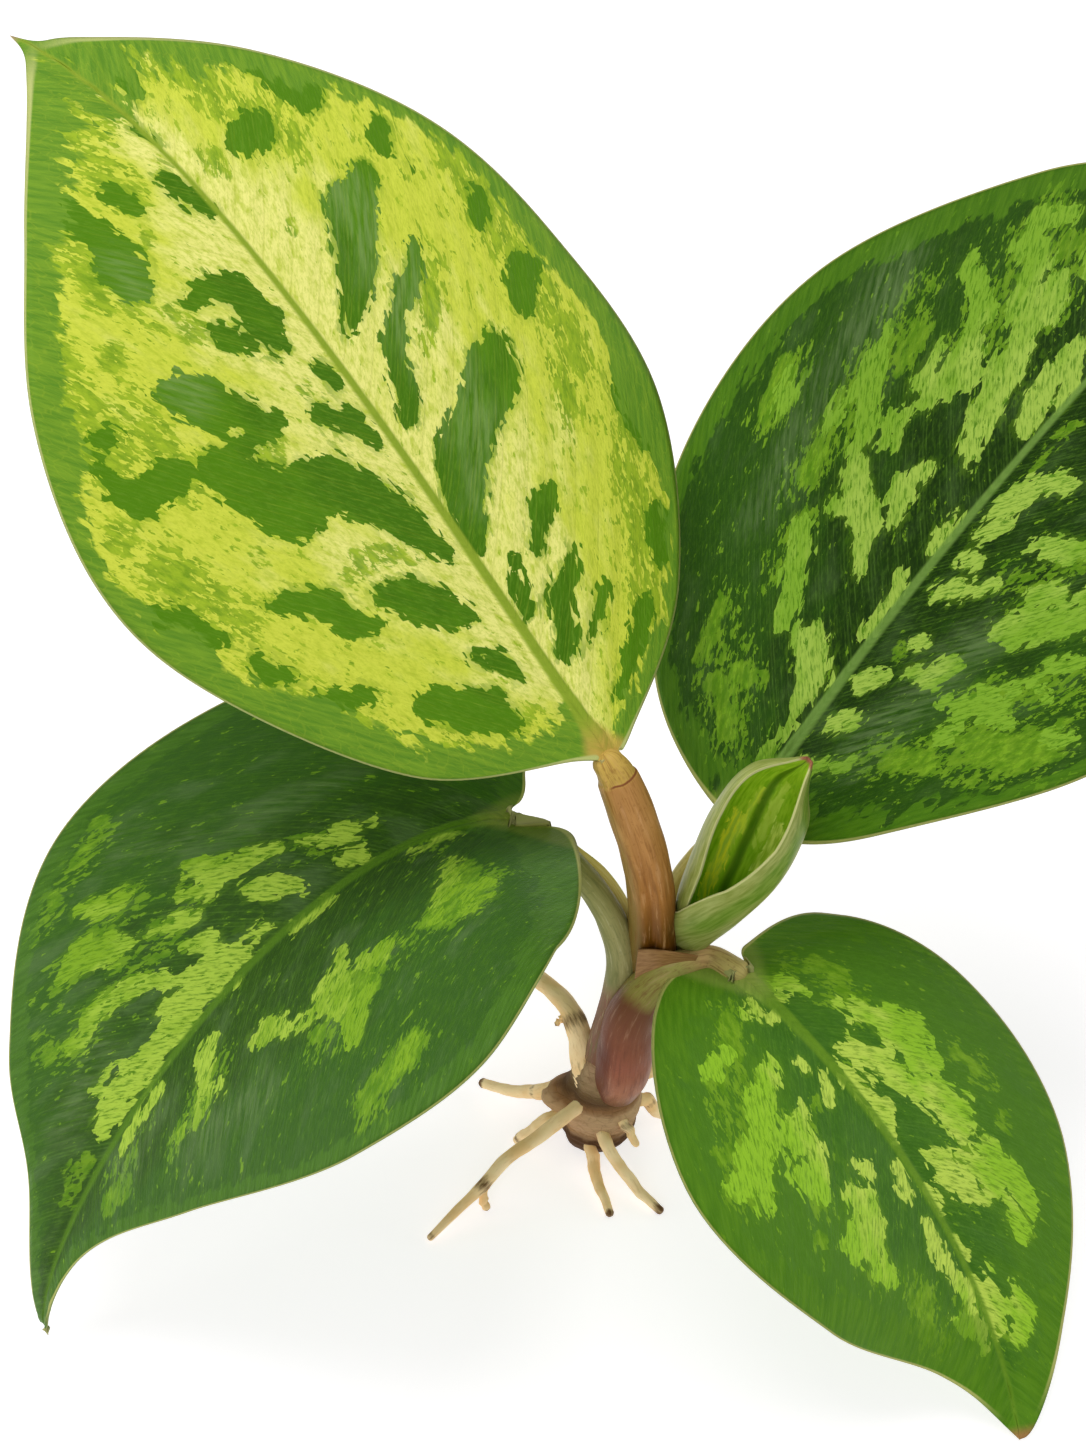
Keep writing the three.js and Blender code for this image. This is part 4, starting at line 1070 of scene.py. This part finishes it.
def young_surface(s, q):
    """Outer face of the rolled leaf: s goes round it from the left margin to the right one."""
    axis = np.array(YOUNG["axis"], float)
    centre = spline(axis[:, :3], q, True)
    radius = spline(axis[:, 3:], q)[:, 0]
    along = heading(axis[:, :3], q, True)
    facing = np.array(YOUNG["facing"])
    front = unit(facing - along * (along @ facing)[:, None])
    side = np.cross(front, along)
    left, right = (np.interp(q, *np.array(YOUNG[side], float).T) for side in ("left", "right"))
    whole = right + 360 - left
    turn = whole * (1 + s) / 2
    lap = 0.9 * (1 - ease(whole - turn, 20, 80)) * ease(right - left, -25, 5)
    angle = np.radians(left + turn)
    reach = np.maximum(radius, 0.05) + YOUNG["thickness"] * np.minimum(1, radius) + lap
    place = centre + front * (reach * np.cos(angle))[:, None]
    return place + side * (reach * np.sin(angle))[:, None]


def young_finish():
    def paint(pen):
        s, q, _ = attribute(pen, "flat")
        outer, _, _ = attribute(pen, "side")
        grain = join(pen, s * 14.0, q * 40.0 - s.size() * 16.0)
        fine = join(pen, s * 30.0, q * 12.0)
        streak = clouds(fine, 1.0, 4.0)
        drift = clouds(grain, 0.12, 3.0)
        outside = blend(streak.ramp(0.3, 0.7), "#84923e", "#a6ae62")
        green = (s - 0.76 + drift.swing(0.2)).size().ramp(0.17, 0.05)
        green = green * (q + drift * 0.1).ramp(0.1, 0.3)
        outside = blend(green * 0.85, outside, blend(streak.ramp(0.3, 0.7), "#5a821c", "#7c9836"))
        # Inner face: its greens, and the stripes laid on it below, are painted lighter than the leaf's
        # own colour, as painted light standing in for light shining through the thin leaf into the
        # roll.
        inside = blend(streak.ramp(0.3, 0.7), "#86b812", "#b2d432")
        ragged = cells(grain, 0.8).swing(0.05) + streak.swing(0.1) + drift.swing(0.12)
        turned = s + 0.12
        for centre, half, start, end, tint in YOUNG_STRIPES:
            across = (turned - centre - (q - start) * 0.1).size() - half + ragged
            along = (q - 0.5 * (start + end)).size() - 0.5 * (end - start) + ragged
            stripe = across.math("MAXIMUM", along).ramp(0.015, -0.015)
            inside = blend(stripe * 0.9, inside, blend(streak.ramp(0.35, 0.65), tint, "#bed646"))
        inside = blend(turned.size().ramp(0.07, 0.015) * 0.8, inside, "#426a04")
        colour = blend(outer.ramp(0.3, 0.7), inside, outside)
        colour = blend(s.size().ramp(0.98, 0.992), colour, "#c4c684")
        colour = blend((q + drift.swing(0.02)).ramp(0.975, 0.995), colour, "#aa6e50")
        return colour, 0.4 + streak.swing(0.2), streak * 0.12
    return finish("young_leaf", paint, **{"Specular IOR Level": 0.14})


def make_young():
    def thickness(s, q):
        body = YOUNG["thickness"] * (1 - 0.5 * ease(np.abs(s), 0.9, 1.0))
        radius = spline(np.array(YOUNG["axis"], float)[:, 3:], q)[:, 0]
        return np.minimum(body, 0.6 * radius)
    rows, columns = GRIDS["young leaf"]
    bm = sheet(rows, np.linspace(1, -1, columns), young_surface, thickness, face_marks)
    close(bm)
    piece("young_leaf_roll", bm, young_finish(), "leaf_rolled", "leaf_young")
    bm = tube(YOUNG["stalk"], *GRIDS["young stalk"])
    close(bm)
    look = {
        "stops": [(0.0, "#966e46"), (0.5, "#8c924a"), (1.0, "#7e944a")],
        "left": "#96a05a", "left_span": (0.2, 0.7), "left_force": 0.2, "left_range": (-1, 0),
        "dark": "#688038", "pale": "#aab46e", "pale_force": 0.3,
    }
    piece("young_leaf_stalk", bm, stalk_finish("young_stalk", look), "leaf_rolled")


# Stem base, with its profile as (height, radius). Foot and top are the middles of its two ends.
STEM = {
    "profile": [
        (0, 3.4), (0.8, 4.8), (2.6, 6.3), (5, 7.3), (7, 7.2), (8.6, 7), (10.2, 7.5), (12.6, 7.6),
        (15, 7.1), (17, 6.4), (19, 6.5), (21.4, 7), (23.4, 6.9), (26, 6.1), (29, 5.2), (32, 3.4),
    ],
    "foot": (-1.8, 1.4), "top": (2, 0.6),
    "knob": {"height": 13.5, "reach": 4.5, "spread": 4, "turn": 0.5},
}


def stem_finish():
    def paint(pen):
        height, angle, _ = attribute(pen, "flat")
        place = solid_place(pen)
        bark = clouds(place, 420.0, 5.0, 0.6)
        mottle = clouds(place, 110.0, 3.0)
        level = (height + mottle.swing(3.5) + bark.swing(1.5)) / 32.0
        stops = [
            (0.0, "#462e1a"), (0.2, "#563a22"), (0.25, "#b08e68"), (0.44, "#ba9870"),
            (0.5, "#8c643e"), (0.55, "#583e22"), (0.62, "#644c2a"), (0.7, "#8e7450"),
            (0.8, "#aa8c68"), (1.0, "#a0785c"),
        ]
        colour = pen.node("ShaderNodeValToRGB", {"stops": stops}, {"Fac": level}, "Color")
        colour = blend(bark.ramp(0.5, 0.68) * 0.35, colour, "#6e4c2e")
        scar = walls(join(pen, angle * 8.0, height * 2.2), 0.4).ramp(0.08, 0.0)
        colour = blend(scar * 0.15, colour, "#604228")
        return colour, 0.72 + bark.swing(0.2), bark * 0.4 - scar * 0.06
    return finish("stem", paint, **{"Specular IOR Level": 0.2})


def make_stem():
    profile = np.array(STEM["profile"], float)

    def place(u, v):
        angle = u * 2 * math.pi
        t = np.clip(v / (1 - 2 * CAP) - CAP, 0, 1)
        level = spline(profile, t)
        height, radius = level[:, 0], level[:, 1]
        turn = np.abs(np.arctan2(np.sin(angle - math.pi), np.cos(angle - math.pi)))
        knob = STEM["knob"]
        from_knob = ((height - knob["height"]) / knob["spread"]) ** 2 + (turn / knob["turn"]) ** 2
        reach = radius + knob["reach"] * np.exp(-from_knob)
        lumps = 0.3 * ripple(angle * 3, 5) * np.sin(angle / 2) ** 2
        rings = 0.12 * np.sin(height * 4.2) + 0.12 * ripple(height * 2.4, 8)
        reach = (reach + lumps + rings) * np.clip(np.minimum(v / CAP, (1 - v) / CAP), 0, 1)
        rise = height / profile[-1, 0]
        x, y = (foot + (top - foot) * rise for foot, top in zip(STEM["foot"], STEM["top"]))
        skin = np.stack([x + reach * np.cos(angle), y + reach * np.sin(angle), height], 1)
        return skin, {"flat": np.stack([height, np.abs(angle - math.pi), height * 0], 1)}
    bm = grid_mesh(*GRIDS["stem"], place)
    close(bm)
    piece("stem_bark", bm, stem_finish(), "stem", "stem_base")


# Roots, each with its own route first and then those of its side rootlets, as (x, y, z, radius)
ROOTS = {
    "root_front_left": [
        [(-3, -2, 15.4, 1.5), (-6, -4, 15.2, 1.6), (-12.6, -8, 12.1, 1.5), (-20.3, -13, 8.6, 1.4),
         (-27, -18.5, 4.6, 1.1), (-33.8, -24.2, 0.9, 0.8)],
        [(-22.8, -15, 7, 0.9), (-23.6, -16.4, 3.6, 1), (-23, -17.3, 0.9, 0.9)],
    ],
    "root_left": [
        [(-6, 0.5, 14.6, 1.9), (-10, 2, 13.4, 1.9), (-16.6, 7, 6.2, 1.4), (-24.1, 12, 2.9, 1.1)],
    ],
    "root_left_short": [
        [(-6.5, -1.5, 11.5, 1.5), (-11.4, -2.6, 9.6, 1.5), (-14.8, -2, 5.4, 1.3), (-17, -1, 1.2, 1.1)],
    ],
    "root_front": [[(-3, -3, 6, 1.3), (-2.4, -7, 4.4, 1.4), (-1, -12.5, 2, 1.2), (1, -18.6, 1, 0.9)]],
    "root_front_right": [
        [(-0.8, -4, 11, 1.3), (0.4, -8, 8.6, 1.4), (3.6, -11, 5, 1.3), (7, -14.2, 2, 1.2),
         (10.8, -17.9, 1, 0.9)],
    ],
    "root_stub": [[(2.6, -3.6, 12.6, 1.1), (4.2, -6, 12, 1.1), (6.2, -7.6, 8.6, 0.8)]],
    "root_right": [[(4, 1, 12.6, 1.5), (8, 2, 10.4, 1.5), (10.8, 3.4, 4.4, 1.3), (15, 6, 1.1, 0.9)]],
    "root_aerial": [
        [(-1.6, 0.4, 18, 5), (-3.6, 1.4, 25, 3.4), (-5.6, 4, 31, 2.3), (-8.2, 8.5, 33.3, 2.1),
         (-12.8, 14, 33, 2), (-20, 24, 27, 1.8), (-31, 42, 12, 1.5), (-39, 54, 3, 1.2),
         (-45, 61, 1, 0.9)],
        [(-7.4, 6, 32.6, 0.7), (-9.4, 4.8, 30.2, 0.6)],
    ],
    "root_back": [
        [(0, 5, 10, 1.5), (1, 10, 9, 1.5), (4, 24, 5.5, 1.4), (7, 38, 1.8, 1.2), (8, 47, 1, 0.9)],
    ],
    "root_back_right": [
        [(3.5, 3.5, 14, 1.5), (8, 7.4, 12, 1.5), (18, 15, 6, 1.3), (27, 22, 1.8, 1.1),
         (33, 26, 1, 0.9)],
    ],
}
# Dark places along a root: the share of its length, how far each spreads, and how dark it is.
# The root swells a little at those that come before its end.
ROOT_END = 0.95
ROOT_COLLAR = (0.12, 0.05, 0.55)
ROOTLET_DARK = [(1.0, 0.06, 1)]
DARK = {
    "root_front_left": [(0.7, 0.05, 0.9), (0.99, 0.02, 0.8)],
    "root_left": [(0.5, 0.05, 0.7), (1.0, 0.03, 1)],
    "root_left_short": [(0.9, 0.06, 0.8)],
    "root_front": [(0.36, 0.04, 0.5), (1.0, 0.05, 1)],
    "root_front_right": [(1.0, 0.12, 1)],
    "root_stub": [(0.5, 0.2, 0.8)],
    "root_right": [(0.4, 0.1, 0.7)],
    "root_aerial": [(0.27, 0.045, 0.85), (0.98, 0.03, 1)],
    "root_back": [(0.98, 0.04, 1)],
    "root_back_right": [(0.98, 0.04, 1)],
}


def root_finish():
    def paint(pen):
        cosine, sine, _ = attribute(pen, "round")
        run, radius, dark = attribute(pen, "run")
        place = solid_place(pen)
        fibre = clouds(join(pen, cosine * radius, sine * radius, run * 0.25), 1.8, 4.0, 0.6)
        mottle = clouds(place, 160.0, 3.0)
        colour = blend(mottle.ramp(0.3, 0.7), "#f2ca8e", "#ffe4b4")
        colour = blend(fibre.ramp(0.5, 0.75) * 0.4, colour, "#cea46a")
        colour = blend((dark + fibre.swing(1.1)).ramp(0.45, 1.1), colour, "#684828")
        return colour, 0.7 + fibre.swing(0.2), fibre * 0.14 + mottle * 0.1
    return finish("root", paint, **{"Specular IOR Level": 0.2})


def make_roots():
    material = root_finish()
    for number, (name, routes) in enumerate(ROOTS.items()):
        whole = bmesh.new()
        for branch, route in enumerate(routes):
            seed = 10 * number + branch
            spots = ROOTLET_DARK if branch else [ROOT_COLLAR, *DARK[name]]

            def shade(t, spots=spots):
                return sum(force * np.exp(-((t - spot) / spread) ** 2) for spot, spread, force in spots)

            def section(t, angle, seed=seed, spots=spots):
                uneven = 0.04 * ripple(t * 14, seed)
                uneven = uneven + 0.02 * ripple(t * 30 + 2 * np.cos(angle), seed + 3)
                knots = [spot for spot in spots if spot[0] < ROOT_END]
                return 0.92 + uneven + 0.08 * shade(t, knots)

            def drift(t, seed=seed):
                hold = (np.sin(math.pi * t) * 0.3)[:, None]
                moves = [ripple(t * 6, seed + axis) for axis in (1, 2, 4)]
                return np.stack(moves, 1) * hold
            grid = GRIDS["rootlet" if branch else "root"]
            bm = tube(route, *grid, section, drift, shade)
            close(bm)
            scrap = bpy.data.meshes.new("scrap")
            bm.to_mesh(scrap)
            whole.from_mesh(scrap)
            bm.free()
            bpy.data.meshes.remove(scrap)
        piece(name + "_skin", whole, material, "root", name)


# Floor, light and camera, in metres and degrees. A lamp has its place, the point it is aimed at, its
# size and its power.
LAMPS = {
    "top": ((-0.25, 0.2, 1.3), (0, 0, 0.1), 1.0, 9),
    "left": ((-1.2, -0.2, 0.45), (0, 0, 0.1), 0.8, 4),
    "right": ((1.2, 0.1, 0.6), (0, 0, 0.1), 0.8, 3.5),
    "front": ((-0.3, -1.1, 0.7), (0, 0, 0.08), 0.7, 3),
}
FLOOR_SIZE, FLOOR_GLOW, SKY_STRENGTH = 4, 0.65, 0.34
CAMERA_PLACE, CAMERA_TILT, CAMERA_LENS = (-0.012, -0.36598, 0.48298), 45, 75


def make_studio():
    bm = bmesh.new()
    bmesh.ops.create_grid(bm, x_segments=1, y_segments=1, size=FLOOR_SIZE)
    mesh = bpy.data.meshes.new("floor")
    bm.to_mesh(mesh)
    bm.free()
    floor = bpy.data.objects.new("floor", mesh)
    bpy.context.scene.collection.objects.link(floor)

    def paint(pen):
        place = solid_place(pen)
        soft = clouds(place, 3.0, 2.0)
        return blend(soft, "#d4ced4", "#d8d2d8"), 0.9 + soft * 0.02, soft * 0.0
    glow = {
        "Specular IOR Level": 0.0, "Emission Color": "#ffffff", "Emission Strength": FLOOR_GLOW,
    }
    mesh.materials.append(finish("pale_floor", paint, **glow))
    for name, (place, aim, size, power) in LAMPS.items():
        lamp = bpy.data.lights.new(name, "AREA")
        lamp.shape = "DISK"
        lamp.size = size
        lamp.energy = power
        holder = bpy.data.objects.new(name, lamp)
        holder.location = place
        holder.rotation_mode = "QUATERNION"
        holder.rotation_quaternion = (Vector(aim) - Vector(place)).to_track_quat("-Z", "Y")
        bpy.context.scene.collection.objects.link(holder)
    world = bpy.data.worlds.new("studio")
    bpy.context.scene.world = world
    world.use_nodes = True
    background = world.node_tree.nodes["Background"]
    background.inputs["Color"].default_value = (1, 1, 1, 1)
    background.inputs["Strength"].default_value = SKY_STRENGTH
    bpy.context.scene.view_settings.view_transform = "Standard"


def make_camera():
    lens = bpy.data.cameras.new("camera")
    lens.lens = CAMERA_LENS
    lens.sensor_width = 36
    lens.clip_start, lens.clip_end = 0.01, 20
    holder = bpy.data.objects.new("camera", lens)
    holder.location = CAMERA_PLACE
    holder.rotation_euler = (math.radians(CAMERA_TILT), 0, 0)
    bpy.context.scene.collection.objects.link(holder)
    bpy.context.scene.camera = holder


make_camera()
make_studio()
for leaf_name in LEAVES:
    make_leaf(leaf_name)
make_petioles()
# The wing's pale yellows are painted lighter than its own colour, as painted light standing in for
# light shining through the thin sheath.
make_strip("lower_left_wing", WING, "petiole_grey_green", "#f4e47c", "#fff6a4")
make_strip("lower_right_flap", FLAP, "petiole_pink", "#866036", "#a47c4c")
make_young()
make_stem()
make_roots()
